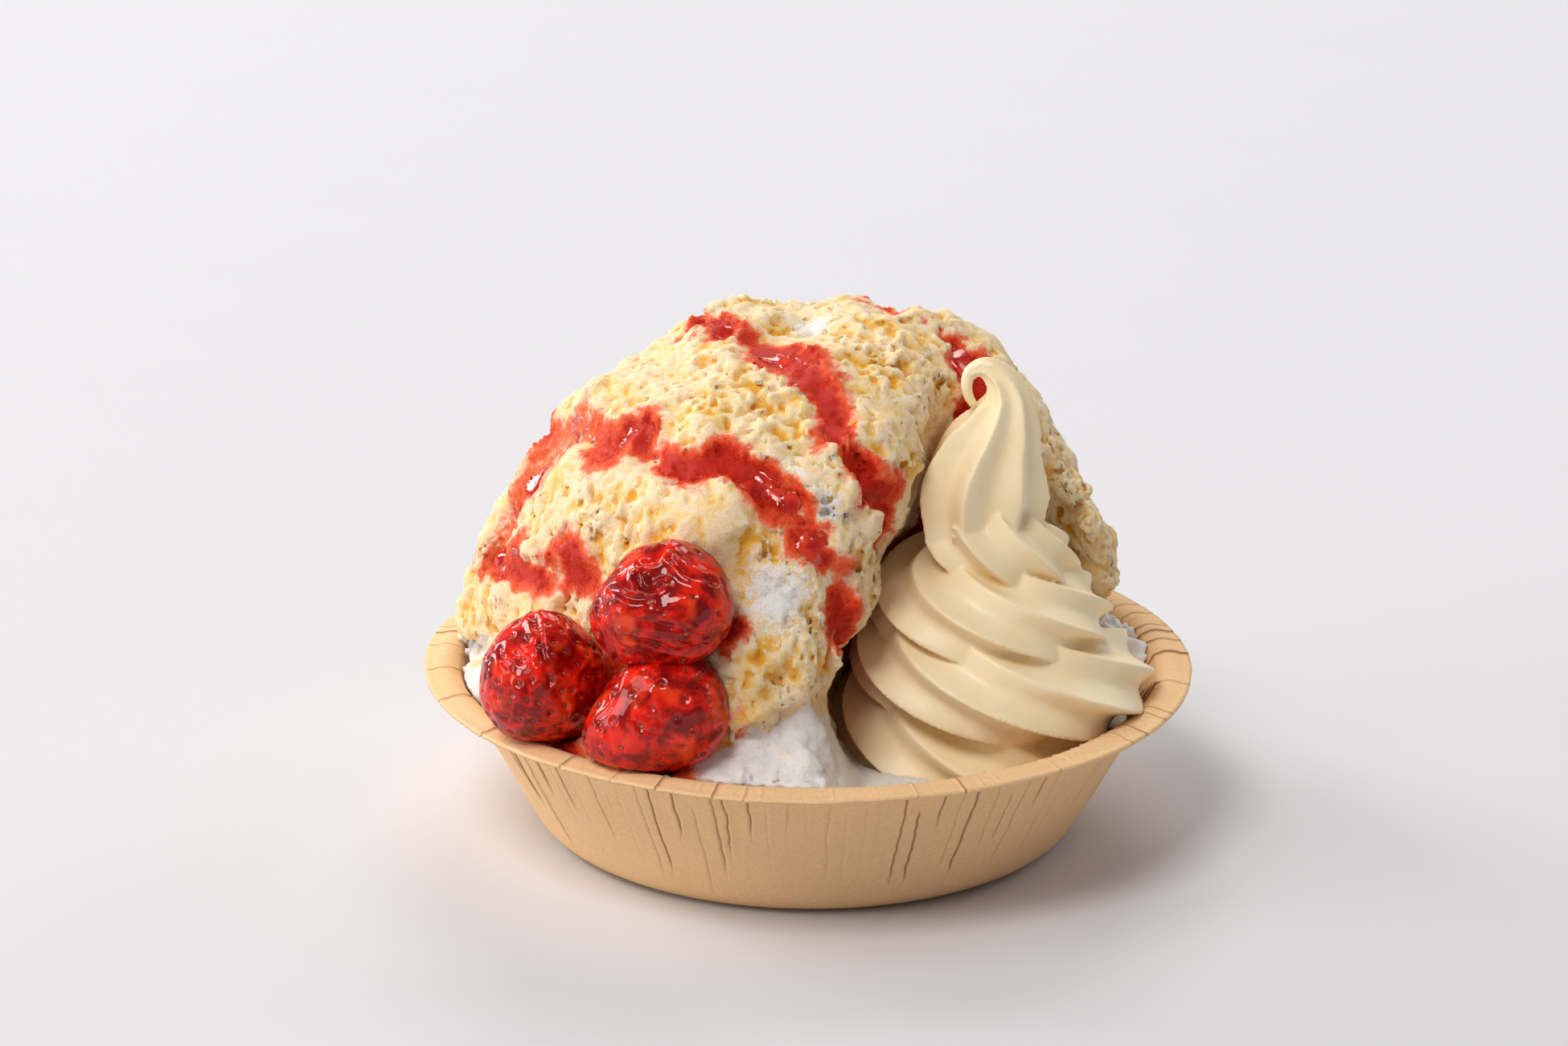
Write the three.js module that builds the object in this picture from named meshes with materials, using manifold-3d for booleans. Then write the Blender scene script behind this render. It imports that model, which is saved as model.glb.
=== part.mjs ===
// A mound of shaved ice in a pressed board bowl, with a swirl of soft serve and three strawberries.
// Millimetres, +Z up, origin at the centre of the bowl's foot, -Y towards the eater, +X to the right.

import * as THREE from "three";
import { mergeVertices } from "three/addons/utils/BufferGeometryUtils.js";
import Module from "manifold-3d";

const wasm = await Module();
wasm.setup();

// ---------------------------------------------------------------- driving dimensions

const GAP = 0.3; // clearance between pieces that touch
const ICE_GAP = 0.5; // clearance between the ice and the bowl's wall
const COLUMNS = 72; // facets round the bowl
const TURN = 2 * Math.PI;

const BOWL = {
  flangeRadius: 82.5, // outer edge of the turned-out rim
  height: 36, // foot to the top of the wall
  wallRadius: 76, // outside of the wall where the flange begins
  footRadius: 51.5, // centre of the corner between foot and wall
  cornerRadius: 9,
  board: 0.7, // board thickness
  flangeRise: 0.5, // crown of the flange above the wall's top
  crownShare: 1 / 1.4, // share of the flange's width that the crown spans
  lipDrop: 0.2, // how far the flange's edge curls down
  lipStart: 0.6, // share of the flange's width where that curl starts
};

// The heap: centre, half sizes at the rim, height above it, and squareness of its shoulders (2: ellipsoid).
const HEAP = { x: -1, y: 3, halfWidth: 67.5, halfDepth: 64, height: 73.5, squareness: 2.2 };
const ICE_ROWS = 22;
const ICE_COLUMNS = 66;
const HUB = new THREE.Vector3(-12, 8, 4); // azimuths and elevations on the ice are seen from here
// How far from the hub the ice's surface is looked for.
const REACH = { from: 8, to: 135, step: 1.4, halvings: 14 };
const MIDDLE = 32; // elevation in degrees of the outline that spaces the ice's columns

// The niche that holds the soft serve: a cone about the swirl's axis, open towards the front right.
// Its edge is rounded widely on the left, where the heap falls away, and tightly on the right.
const NICHE = {
  tip: 108.5,
  slope: 0.565,
  widest: 36,
  from: -94,
  to: -45,
  leftRounding: 28,
  rightRounding: 9,
  blend: [-12, 18], // distances left of the swirl's axis over which the one rounding passes into the other
};
// Loose ice inside the rim, which slopes up from the wall and is scooped out under the swirl.
const FLOOR = {
  level: 35.2, // height of the ice at the wall
  slope: 0.55,
  run: 26, // distance from the wall over which it slopes
  underSwirl: 26,
  from: -82, // azimuth in degrees, seen from the swirl, beyond which the ice drops
  step: 18, // distance over which it drops
  rounding: 6,
  edge: 7, // height over which the crags fade in
};

// Bulges (+) and hollows (-) of the ice: azimuth and elevation in degrees, reach and height in mm.
const LUMPS = [
  [-150, 86, 10, 4], // knob at the top left
  [5, 75, 18, 3.5], // broad hump at the top right
  [-50, 83, 12, -5], // saddle between them
  [60, 72, 22, 2], // back of the crown
  [0, 63, 14, 4.5], // right shoulder
  [-8, 50, 14, 3.5], // right flank
  [-9, 39, 5, 7], // torn spur of ice
  [-164, 68, 16, 1], // left shoulder
  [-157, 62, 8, -3], // notch below it
  [-172, 43, 12, 1.5], // left cheek
  [-112, 67, 18, 2], // front left brow
  [-98, 54, 7, 5], // peak over the strawberries
  [-87, 47, 12, -5], // smooth hollow right of it
  [-58, 62, 14, 2], // front right brow
  [-86, 38, 14, 4], // yellow foot at the front
  [-84, 29, 15, 3], // bare ice below it
  [-120, 38, 22, -4], // seat of the strawberries
  [178, 29, 16, 6], // bare ice at the left edge
  [150, 40, 28, 3], // back left
  [95, 45, 30, 3.5], // back
  [40, 45, 26, 3], // back right
  [110, 65, 20, -3], // dip at the back
];

// Channels melted by the strawberry sauce: azimuth and elevation along each run, in degrees.
const CHANNEL = { reach: 4.5, depth: 2.2 };
const SAUCE_RUNS = [
  [[60, 60], [85, 74], [150, 82], [-170, 85], [-122, 84]],
  [[-95, 83], [-87, 82], [-73, 78], [-69, 72], [-68, 67], [-67, 62], [-65, 57], [-60, 56]],
  [[-60, 56], [-54, 56], [-43, 58], [-32, 60]],
  [
    [165, 60], [-175, 61], [-164, 64], [-150, 65], [-138, 64],
    [-131, 65], [-128, 67], [-124, 65], [-117, 63],
  ],
  [[-117, 63], [-108, 61], [-99, 62], [-91, 60], [-86, 58], [-83, 57], [-80, 54], [-77, 51], [-73, 48]],
  [[-73, 48], [-72, 44], [-71, 40]],
  [[-178, 44], [-165, 45], [-152, 46], [-143, 46], [-135, 47], [-127, 47]],
  [[-163, 64], [-166, 60], [-167, 56], [-168, 51], [-165, 46]],
  [[80, 68], [30, 74], [5, 72], [-4, 70], [-11, 66], [-16, 62], [-14, 57], [-9, 53]],
  [[-9, 53], [-11, 49], [-9, 44], [-8, 39], [-6, 33], [0, 28]],
  [[15, 48], [50, 58], [90, 55], [130, 52], [160, 46], [178, 38]],
  [[35, 30], [62, 40], [92, 38], [125, 36], [145, 30]],
];

const CRAGS = [
  // size and height in mm of each layer of crags, and its seed
  { size: 15, height: 2.2, seed: 3 },
  { size: 7.5, height: 1.8, seed: 7 },
];

const SWIRL = {
  x: 39.5, // axis of the swirl
  y: -20,
  flutes: 7, // teeth of the nozzle's star
  squash: 0.78, // height over width of the rope where it lies in coils
  twist: TURN, // turn of the flutes about the rope over one coil, as the nozzle itself doesn't turn
};
// Plain rope that the ice is cut back to, and the fluted rope itself.
// The flutes' depth is a share of the rope's radius.
const PLAIN_ROPE = { stepsPerTurn: 16, around: 14, fluteDepth: 0, grow: GAP + 0.6 };
const FLUTED_ROPE = { stepsPerTurn: 16, around: 28, fluteDepth: 0.26, grow: 0 };
// The coils lean out over the ones below by this share of the depth, and less from one turn to another.
const SAG = { share: 0.3, from: 2.85, to: 3.31 };

// The rope of soft serve at each half turn, from the right:
// coil radius, height above the rim, rope radius.
const COILS = [
  [14, -13, 13],
  [19.5, -3.5, 15.5],
  [19, 5, 15],
  [17.5, 12, 13.6],
  [11.8, 19.5, 12.7],
  [14.5, 23.5, 13],
  [5.5, 30, 11.5],
  [4.5, 37, 14.2],
];
const COIL_TURNS = 3.4;

// The pulled-up tip above the coils: offset to the right, offset back, height above the rim, rope radius.
const TIP = [
  [-3.6, -1, 44.5, 14.8],
  [-2.2, 0, 52, 12.2],
  [0.2, 0, 59.5, 8.2],
  [0.9, 0, 65.2, 5.4],
  [-0.9, 0, 69.4, 3.6],
  [-4.1, 0, 71.4, 2.4],
  [-6.7, 0, 70.2, 1.7],
  [-7.4, 0, 67.6, 1.4],
  [-6.9, 0, 65, 1.2],
  [-5.8, 0, 63.2, 1],
];
// Body that joins the coils inside: radius and height above the rim, from low to high.
const CORE = [[0, -16], [16, -14], [17, 4], [10, 22], [3, 34], [0, 36]];

// Strawberries: centre, half sizes across, deep and high, taper towards -X, and turns in degrees.
const BERRIES = {
  strawberry_top: { at: [-30, -58, 67.3], half: [14.6, 12.5, 13], taper: 0.12, turn: [0, -12, 10], seed: 11 },
  strawberry_left: { at: [-53.3, -48, 48], half: [13.6, 12.5, 13.4], taper: -0.2, turn: [0, 35, 20], seed: 23 },
  strawberry_front: { at: [-31.5, -63, 46], half: [15.4, 12, 12], taper: 0.3, turn: [0, -28, 12], seed: 37 },
};
const BERRY_COLUMNS = 20;
const BERRY_ROWS = 12;

// ---------------------------------------------------------------- helpers

const degrees = (a) => THREE.MathUtils.degToRad(a);

// A fixed random number from 0 to 1 for a lattice point.
function lattice(ix, iy, iz, seed) {
  let h = Math.imul(ix, 374761393) + Math.imul(iy, 668265263);
  h = (h + Math.imul(iz, 1274126177) + Math.imul(seed, 974711)) | 0;
  h = Math.imul(h ^ (h >>> 13), 1103515245);
  h = Math.imul(h ^ (h >>> 16), 668265263);
  return ((h ^ (h >>> 15)) >>> 0) / 4294967296;
}

// Smooth random field from -1 to 1 with features of the given size.
function noise(p, size, seed) {
  const q = p.clone().divideScalar(size);
  const cell = q.clone().floor();
  const f = q.sub(cell);
  const ease = (t) => t * t * (3 - 2 * t);
  let sum = 0;
  for (let corner = 0; corner < 8; corner++) {
    const [dx, dy, dz] = [corner & 1, (corner >> 1) & 1, corner >> 2];
    const wx = dx ? ease(f.x) : 1 - ease(f.x);
    const wy = dy ? ease(f.y) : 1 - ease(f.y);
    const wz = dz ? ease(f.z) : 1 - ease(f.z);
    sum += wx * wy * wz * lattice(cell.x + dx, cell.y + dy, cell.z + dz, seed);
  }
  return 2 * sum - 1;
}

// Catmull-Rom value of a list of numbers at a fractional index.
function along(values, t) {
  const i = Math.min(Math.floor(t), values.length - 2);
  const at = (k) => values[THREE.MathUtils.clamp(k, 0, values.length - 1)];
  const [a, b, c, d] = [at(i - 1), at(i), at(i + 1), at(i + 2)];
  const f = t - i;
  return b + 0.5 * f * (c - a + f * (2 * a - 5 * b + 4 * c - d + f * (3 * (b - c) + d - a)));
}

// A closed surface: a bottom point, rings from low to high of equally many points, and a top point.
// Each quad is split along its shorter diagonal.
function ringSurface(bottom, rings, top) {
  const columns = rings[0].length;
  const points = [bottom, ...rings.flat(), top];
  const last = points.length - 1;
  const id = (row, column) => 1 + row * columns + (column % columns);
  const faces = [];
  for (let c = 0; c < columns; c++) {
    faces.push(0, id(0, c + 1), id(0, c));
    faces.push(last, id(rings.length - 1, c), id(rings.length - 1, c + 1));
  }
  for (let r = 0; r + 1 < rings.length; r++)
    for (let c = 0; c < columns; c++) {
      const [a, b, d, e] = [id(r, c), id(r, c + 1), id(r + 1, c), id(r + 1, c + 1)];
      const split = points[a].distanceTo(points[e]) < points[b].distanceTo(points[d]);
      faces.push(...(split ? [a, b, e, a, e, d] : [a, b, d, b, e, d]));
    }
  return new THREE.BufferGeometry().setFromPoints(points).setIndex(faces);
}

function toSolid(geometry) {
  const bare = geometry.clone();
  bare.deleteAttribute("normal");
  bare.deleteAttribute("uv");
  const merged = mergeVertices(bare, 1e-4);
  return new wasm.Manifold(
    new wasm.Mesh({
      numProp: 3,
      vertProperties: merged.attributes.position.array,
      triVerts: new Uint32Array(merged.index.array),
    }),
  );
}

function toGeometry(solid) {
  const { vertProperties, triVerts } = solid.getMesh();
  const geometry = new THREE.BufferGeometry();
  geometry.setAttribute("position", new THREE.BufferAttribute(vertProperties, 3));
  geometry.setIndex(new THREE.BufferAttribute(triVerts, 1));
  geometry.computeVertexNormals();
  return geometry;
}

// The largest single body of a solid, without the loose scraps that a cut leaves.
function largest(solid) {
  return solid.decompose().reduce((a, b) => (b.volume() > a.volume() ? b : a));
}

// ---------------------------------------------------------------- bowl

// Foot, corner and wall of the bowl, moved inwards from its outside, from the axis up to a height.
function wallCurve(inset, top) {
  const { footRadius, cornerRadius, wallRadius, height } = BOWL;
  const [dx, dz] = [wallRadius - footRadius, height - cornerRadius];
  const lean = Math.atan2(dz, dx) - Math.acos(cornerRadius / Math.hypot(dx, dz));
  const r = cornerRadius - inset;
  const points = [new THREE.Vector2(0, inset)];
  const steps = 3;
  for (let i = 0; i <= steps; i++) {
    const a = THREE.MathUtils.lerp(-Math.PI / 2, lean, i / steps);
    points.push(new THREE.Vector2(footRadius + r * Math.cos(a), cornerRadius + r * Math.sin(a)));
  }
  const foot = points.at(-1);
  const slope = -Math.tan(lean); // outward run per rise of the wall, which stands square to the lean
  points.push(new THREE.Vector2(foot.x + slope * (top - foot.y), top));
  return points;
}

// The turned-out rim from the wall to its curled edge, offset above the board's underside.
function flangeCurve(lift) {
  const { wallRadius, flangeRadius, height, board, flangeRise, crownShare, lipDrop, lipStart } = BOWL;
  const inner = wallRadius - board;
  const steps = 4;
  const points = [];
  for (let i = 1; i <= steps; i++) {
    const t = i / steps;
    const crown = flangeRise * Math.sin(Math.PI * Math.min(1, t / crownShare));
    const drop = lipDrop * (Math.max(0, t - lipStart) / (1 - lipStart)) ** 2;
    const z = height - board + crown - drop + lift;
    points.push(new THREE.Vector2(inner + t * (flangeRadius - inner), z));
  }
  return points;
}

function bowlSolid(thicken) {
  const { board, height } = BOWL;
  const outside = wallCurve(-thicken, height - board - thicken);
  const under = flangeCurve(-thicken).slice(1);
  const over = flangeCurve(board + thicken).reverse();
  const inside = wallCurve(board + thicken, height + thicken).reverse();
  const edge = [under.at(-1).clone().add(new THREE.Vector2(thicken, 0))];
  edge.push(over[0].clone().add(new THREE.Vector2(thicken, 0)));
  const profile = [...outside, ...under.slice(0, -1), ...edge, ...over.slice(1), ...inside];
  return toSolid(new THREE.LatheGeometry(profile, COLUMNS).rotateX(Math.PI / 2));
}

// ---------------------------------------------------------------- shaved ice

// The larger of two distances, with the corner between their surfaces rounded off.
function roundedMax(a, b, rounding) {
  const near = Math.max(rounding - Math.abs(a - b), 0);
  return Math.max(a, b) + (near * near) / (4 * rounding);
}

// Distance in plan from the swirl's axis, swept outwards over a range of azimuths in degrees.
function sweptDistance(p, from, to) {
  const [middle, half] = [degrees((from + to) / 2), degrees((to - from) / 2)];
  const [x, y] = [p.x - SWIRL.x, p.y - SWIRL.y];
  const ahead = x * Math.cos(middle) + y * Math.sin(middle);
  const aside = Math.abs(y * Math.cos(middle) - x * Math.sin(middle));
  const away = Math.atan2(aside, ahead) - half;
  if (away <= 0) return 0;
  return Math.hypot(ahead, aside) * (away < Math.PI / 2 ? Math.sin(away) : 1);
}

// Height of the loose ice inside the rim, lower where the swirl stands.
function floorHeight(p) {
  const { level, slope, run, underSwirl, from, step } = FLOOR;
  const edge = sweptDistance(p, from, NICHE.to) - NICHE.widest;
  const inwards = BOWL.wallRadius - BOWL.board - ICE_GAP - Math.hypot(p.x, p.y);
  const banked = level + slope * THREE.MathUtils.clamp(inwards, 0, run);
  const outside = THREE.MathUtils.smoothstep(edge, -step / 3, (2 * step) / 3);
  return THREE.MathUtils.lerp(underSwirl, banked, outside);
}

// Distance outside the plain ice: the heap less the swirl's niche, together with the floor.
function outsideIce(p) {
  const { x, y, halfWidth, halfDepth, height, squareness: n } = HEAP;
  const across = Math.hypot((p.x - x) / halfWidth, (p.y - y) / halfDepth);
  const up = Math.abs(p.z - BOWL.height) / height;
  const heap = ((across ** n + up ** n) ** (1 / n) - 1) * halfWidth;
  const radius = Math.min(NICHE.widest, NICHE.slope * (NICHE.tip - p.z));
  const niche = sweptDistance(p, NICHE.from, NICHE.to) - radius;
  const left = THREE.MathUtils.smoothstep(SWIRL.x - p.x, ...NICHE.blend);
  const rounding = THREE.MathUtils.lerp(NICHE.rightRounding, NICHE.leftRounding, left);
  return -roundedMax(-roundedMax(heap, -niche, rounding), floorHeight(p) - p.z, FLOOR.rounding);
}

// Where a ray from the hub leaves the plain ice, by azimuth and elevation in radians.
function plainPoint(azimuth, elevation) {
  const ray = new THREE.Vector3(
    Math.cos(elevation) * Math.cos(azimuth),
    Math.cos(elevation) * Math.sin(azimuth),
    Math.sin(elevation),
  );
  const at = (t) => HUB.clone().addScaledVector(ray, t);
  let near = REACH.from;
  while (near + REACH.step < REACH.to && outsideIce(at(near + REACH.step)) <= 0) near += REACH.step;
  let far = near + REACH.step;
  for (let i = 0; i < REACH.halvings; i++) {
    const middle = (near + far) / 2;
    if (outsideIce(at(middle)) <= 0) near = middle;
    else far = middle;
  }
  return at(near);
}

function outwardNormal(p) {
  const h = 0.5;
  const slope = (axis) => {
    const offset = new THREE.Vector3().setComponent(axis, h);
    return outsideIce(p.clone().add(offset)) - outsideIce(p.clone().sub(offset));
  };
  return new THREE.Vector3(slope(0), slope(1), slope(2)).normalize();
}

const lumps = LUMPS.map(([azimuth, elevation, reach, height]) => ({
  centre: plainPoint(degrees(azimuth), degrees(elevation)),
  reach,
  height,
}));

const runs = SAUCE_RUNS.map((run) => {
  const curve = new THREE.CatmullRomCurve3(run.map(([a, e]) => plainPoint(degrees(a), degrees(e))));
  return curve.getPoints(4 * run.length);
});

// How deep a point lies in the sauce's channels: 1 on a run's middle line, 0 past its reach.
function channelAt(p) {
  const line = new THREE.Line3();
  const nearest = new THREE.Vector3();
  let best = Infinity;
  for (const run of runs)
    for (let i = 0; i + 1 < run.length; i++) {
      line.set(run[i], run[i + 1]).closestPointToPoint(p, true, nearest);
      best = Math.min(best, nearest.distanceTo(p));
    }
  return Math.max(0, 1 - (best / CHANNEL.reach) ** 2);
}

// The ice's surface with its lumps, crags and channels, which fade out at the edge of the floor.
function icePoint(azimuth, elevation, edgeHeight) {
  const point = plainPoint(azimuth, elevation);
  const normal = outwardNormal(point);
  let out = 0;
  for (const { centre, reach, height } of lumps)
    out += height * Math.exp(-((point.distanceTo(centre) / reach) ** 2));
  for (const { size, height, seed } of CRAGS) out += height * noise(point, size, seed);
  out -= CHANNEL.depth * channelAt(point);
  return point.addScaledVector(normal, out * THREE.MathUtils.smoothstep(point.z - edgeHeight, 0, FLOOR.edge));
}

// Azimuths about the hub that cut the ice's outline at mid height into equal lengths.
function evenAzimuths(count) {
  const fine = 360;
  const outline = Array.from({ length: fine + 1 }, (_, i) => plainPoint((TURN * i) / fine, degrees(MIDDLE)));
  const lengths = [0];
  for (let i = 1; i <= fine; i++) lengths.push(lengths[i - 1] + outline[i].distanceTo(outline[i - 1]));
  return Array.from({ length: count }, (_, c) => {
    const target = (lengths[fine] * c) / count;
    const i = lengths.findIndex((length) => length > target);
    return (TURN * (i - (lengths[i] - target) / (lengths[i] - lengths[i - 1]))) / fine;
  });
}

// Inside of the bowl and the ice above it, for one azimuth about the hub, from low to high.
function iceColumn(azimuth) {
  const ray = new THREE.Vector2(Math.cos(azimuth), Math.sin(azimuth));
  const wall = BOWL.wallRadius - BOWL.board - ICE_GAP;
  const ahead = HUB.x * ray.x + HUB.y * ray.y;
  const run = Math.sqrt(ahead * ahead + wall * wall - HUB.x ** 2 - HUB.y ** 2) - ahead;
  const edge = new THREE.Vector3(HUB.x + run * ray.x, HUB.y + run * ray.y, 0);
  const around = Math.atan2(edge.y, edge.x);
  const edgeHeight = floorHeight(edge);
  const inside = wallCurve(BOWL.board + ICE_GAP, edgeHeight).slice(1);
  const turned = ({ x, y }) => new THREE.Vector3(x * Math.cos(around), x * Math.sin(around), y);
  const column = inside.map(turned);
  const last = column.at(-1);
  const start = Math.atan2(last.z - HUB.z, Math.hypot(last.x - HUB.x, last.y - HUB.y));
  for (let row = 1; row < ICE_ROWS; row++) {
    const elevation = THREE.MathUtils.lerp(start, Math.PI / 2, row / ICE_ROWS);
    column.push(icePoint(azimuth, elevation, edgeHeight));
  }
  return column;
}

function iceSolid() {
  const columns = evenAzimuths(ICE_COLUMNS).map(iceColumn);
  const rings = columns[0].map((_, row) => columns.map((column) => column[row]));
  const bottom = new THREE.Vector3(0, 0, BOWL.board + ICE_GAP);
  return toSolid(ringSurface(bottom, rings, icePoint(0, Math.PI / 2, FLOOR.level)));
}

// ---------------------------------------------------------------- soft serve

// Middle line of the rope with its radius, how far it lies flat, and the turn of its flutes.
function swirlStations(stepsPerTurn) {
  const { x, y, squash, twist } = SWIRL;
  const axis = new THREE.Vector3(x, y, BOWL.height);
  const steps = Math.round(COIL_TURNS * stepsPerTurn);
  const column = (i) => COILS.map((row) => row[i]);
  const stations = [];
  for (let i = 0; i <= steps; i++) {
    const turns = (i / steps) * COIL_TURNS;
    const half = Math.min(2 * turns, COILS.length - 1);
    const [coil, rise, rope] = [along(column(0), half), along(column(1), half), along(column(2), half)];
    const azimuth = -TURN * turns;
    const outward = new THREE.Vector3(Math.cos(azimuth), Math.sin(azimuth), 0);
    const centre = axis.clone().addScaledVector(outward, coil);
    centre.z += rise;
    const lean = SAG.share * THREE.MathUtils.clamp((SAG.to - turns) / (SAG.to - SAG.from), 0, 1);
    stations.push({ centre, rope, squash, outward, lean, turn: twist * turns });
  }
  const last = stations.at(-1);
  const path = [last.centre, ...TIP.map(([dx, dy, dz]) => axis.clone().add(new THREE.Vector3(dx, dy, dz)))];
  const curve = new THREE.CatmullRomCurve3(path, false, "centripetal");
  const radii = [last.rope, ...TIP.map((row) => row[3])];
  const tipSteps = Math.round(1.5 * stepsPerTurn);
  for (let i = 1; i <= tipSteps; i++) {
    const t = i / tipSteps;
    stations.push({
      centre: curve.getPoint(t),
      rope: along(radii, t * (radii.length - 1)),
      squash: THREE.MathUtils.lerp(squash, 1, Math.min(1, 4 * t)),
      outward: null, // carried on along the rope from the last coil
      lean: 0,
      turn: last.turn,
    });
  }
  return stations;
}

// The rope's star-shaped section at a station, kept short of the middle of its bend.
function swirlSection(station, { around, fluteDepth, grow }) {
  const { centre, rope, squash, lean, turn, side, tangent, bend } = station;
  const { flutes } = SWIRL;
  const up = new THREE.Vector3().crossVectors(tangent, side);
  const points = [];
  for (let k = 0; k < around; k++) {
    const a = (TURN * k) / around;
    const valley = Math.abs(Math.sin((flutes * a) / 2)) ** 1.1;
    const r = rope * (1 - fluteDepth * valley) + grow;
    const angle = a + turn;
    const offset = side.clone().multiplyScalar(r * Math.cos(angle));
    offset.addScaledVector(up, r * squash * Math.sin(angle));
    offset.addScaledVector(side, -lean * r * squash * Math.sin(angle));
    const inward = offset.dot(bend.direction);
    const most = 0.88 * bend.radius;
    if (inward > most) offset.addScaledVector(bend.direction, most - inward);
    points.push(centre.clone().add(offset));
  }
  return points;
}

function frameStations(stations) {
  const last = stations.length - 1;
  stations.forEach((s, i) => {
    const [before, after] = [stations[Math.max(0, i - 1)].centre, stations[Math.min(last, i + 1)].centre];
    s.tangent = after.clone().sub(before).normalize();
    const from = s.outward ?? stations[i - 1].side;
    s.side = from.clone().addScaledVector(s.tangent, -from.dot(s.tangent)).normalize();
  });
  stations.forEach((s, i) => {
    const [a, b] = [stations[Math.max(0, i - 1)], stations[Math.min(last, i + 1)]];
    const turned = b.tangent.clone().sub(a.tangent);
    const run = b.centre.distanceTo(a.centre);
    const radius = run / Math.max(turned.length(), 1e-6);
    s.bend = { direction: turned.normalize(), radius };
  });
}

function swirlSolid(kind) {
  const stations = swirlStations(kind.stepsPerTurn);
  frameStations(stations);
  const sections = stations.map((station) => swirlSection(station, kind));
  const perPiece = 4; // steps in each short length of rope, so that no length meets itself
  const pieces = [];
  for (let i = 0; i + 1 < sections.length; i += perPiece) {
    const end = Math.min(i + perPiece, sections.length - 1);
    pieces.push(toSolid(ringSurface(stations[i].centre, sections.slice(i, end + 1), stations[end].centre)));
  }
  const { x, y } = SWIRL;
  const profile = CORE.map(([r, z]) => new THREE.Vector2(r, BOWL.height + z));
  pieces.push(toSolid(new THREE.LatheGeometry(profile, 16).rotateX(Math.PI / 2).translate(x, y, 0)));
  return pieces.reduce((a, b) => a.add(b));
}

// ---------------------------------------------------------------- strawberries

function berrySolid({ at, half, taper, turn, seed }, grow = 0) {
  const placing = new THREE.Matrix4().makeRotationFromEuler(new THREE.Euler(...turn.map(degrees)));
  placing.setPosition(...at);
  const pointAt = (azimuth, latitude) => {
    const n = new THREE.Vector3(
      Math.sin(latitude),
      Math.cos(latitude) * Math.cos(azimuth),
      Math.cos(latitude) * Math.sin(azimuth),
    );
    const girth = 1 + taper * n.x;
    const dents = 1 + 0.05 * noise(n.clone().multiplyScalar(half[0]), 9, seed);
    const scale = new THREE.Vector3(half[0] + grow, (half[1] + grow) * girth, (half[2] + grow) * girth);
    return n.clone().multiply(scale).multiplyScalar(dents).applyMatrix4(placing);
  };
  const rings = [];
  for (let row = 1; row < BERRY_ROWS; row++) {
    const latitude = Math.PI * (row / BERRY_ROWS - 0.5);
    const around = Array.from({ length: BERRY_COLUMNS }, (_, c) => (TURN * c) / BERRY_COLUMNS);
    const ring = around.map((longitude) => pointAt(longitude, latitude));
    rings.push(ring);
  }
  return toSolid(ringSurface(pointAt(0, -Math.PI / 2), rings, pointAt(0, Math.PI / 2)));
}

// ---------------------------------------------------------------- assembly

const materials = {
  board: new THREE.MeshStandardMaterial({ color: 0xd9ae7f, roughness: 0.85, metalness: 0 }),
  ice: new THREE.MeshStandardMaterial({ color: 0xf6dfa2, roughness: 0.6, metalness: 0 }),
  soft_serve: new THREE.MeshStandardMaterial({ color: 0xf0d9ac, roughness: 0.45, metalness: 0 }),
  strawberry: new THREE.MeshStandardMaterial({ color: 0xa81208, roughness: 0.15, metalness: 0 }),
};

const bowl = bowlSolid(0);
const bowlRoom = bowlSolid(GAP);

const swirl = largest(swirlSolid(FLUTED_ROPE).subtract(bowlRoom));
const swirlRoom = swirlSolid(PLAIN_ROPE);

const berries = [];
let taken = bowlRoom;
for (const [name, berry] of Object.entries(BERRIES)) {
  berries.push({ name, solid: largest(berrySolid(berry).subtract(taken)) });
  taken = taken.add(berrySolid(berry, GAP + 0.1));
}

const ice = largest(iceSolid().subtract(swirlRoom).subtract(taken));

const dessert = new THREE.Group();
dessert.name = "shaved_ice_dessert";

function addPiece(name, solid, material) {
  const mesh = new THREE.Mesh(toGeometry(solid), material);
  mesh.name = name;
  dessert.add(mesh);
}

addPiece("bowl", bowl, materials.board);
addPiece("shaved_ice", ice, materials.ice);
addPiece("soft_serve", swirl, materials.soft_serve);
for (const { name, solid } of berries) addPiece(name, solid, materials.strawberry);

export default dessert;
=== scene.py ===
"""Shaved ice with custard syrup, strawberry sauce, strawberries and soft serve, in a board bowl."""

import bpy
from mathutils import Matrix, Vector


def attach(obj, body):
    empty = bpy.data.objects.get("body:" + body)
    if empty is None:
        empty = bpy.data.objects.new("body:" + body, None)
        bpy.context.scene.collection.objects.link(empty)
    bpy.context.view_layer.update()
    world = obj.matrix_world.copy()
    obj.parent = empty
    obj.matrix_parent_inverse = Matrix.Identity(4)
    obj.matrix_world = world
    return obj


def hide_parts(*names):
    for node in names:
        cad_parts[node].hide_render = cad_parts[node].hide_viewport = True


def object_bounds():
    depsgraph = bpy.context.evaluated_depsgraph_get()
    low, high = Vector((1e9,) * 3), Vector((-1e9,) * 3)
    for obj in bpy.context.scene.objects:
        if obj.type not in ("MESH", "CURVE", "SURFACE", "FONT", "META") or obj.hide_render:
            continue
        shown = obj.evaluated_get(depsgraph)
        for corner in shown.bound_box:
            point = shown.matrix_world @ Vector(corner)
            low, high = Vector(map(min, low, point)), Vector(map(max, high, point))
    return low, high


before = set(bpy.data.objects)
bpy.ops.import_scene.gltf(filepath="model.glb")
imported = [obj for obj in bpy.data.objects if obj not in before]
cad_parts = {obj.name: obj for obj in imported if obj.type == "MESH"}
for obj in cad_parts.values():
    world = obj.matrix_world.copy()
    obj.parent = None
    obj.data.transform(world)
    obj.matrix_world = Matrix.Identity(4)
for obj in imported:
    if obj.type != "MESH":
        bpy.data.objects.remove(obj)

import copy
import math

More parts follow.
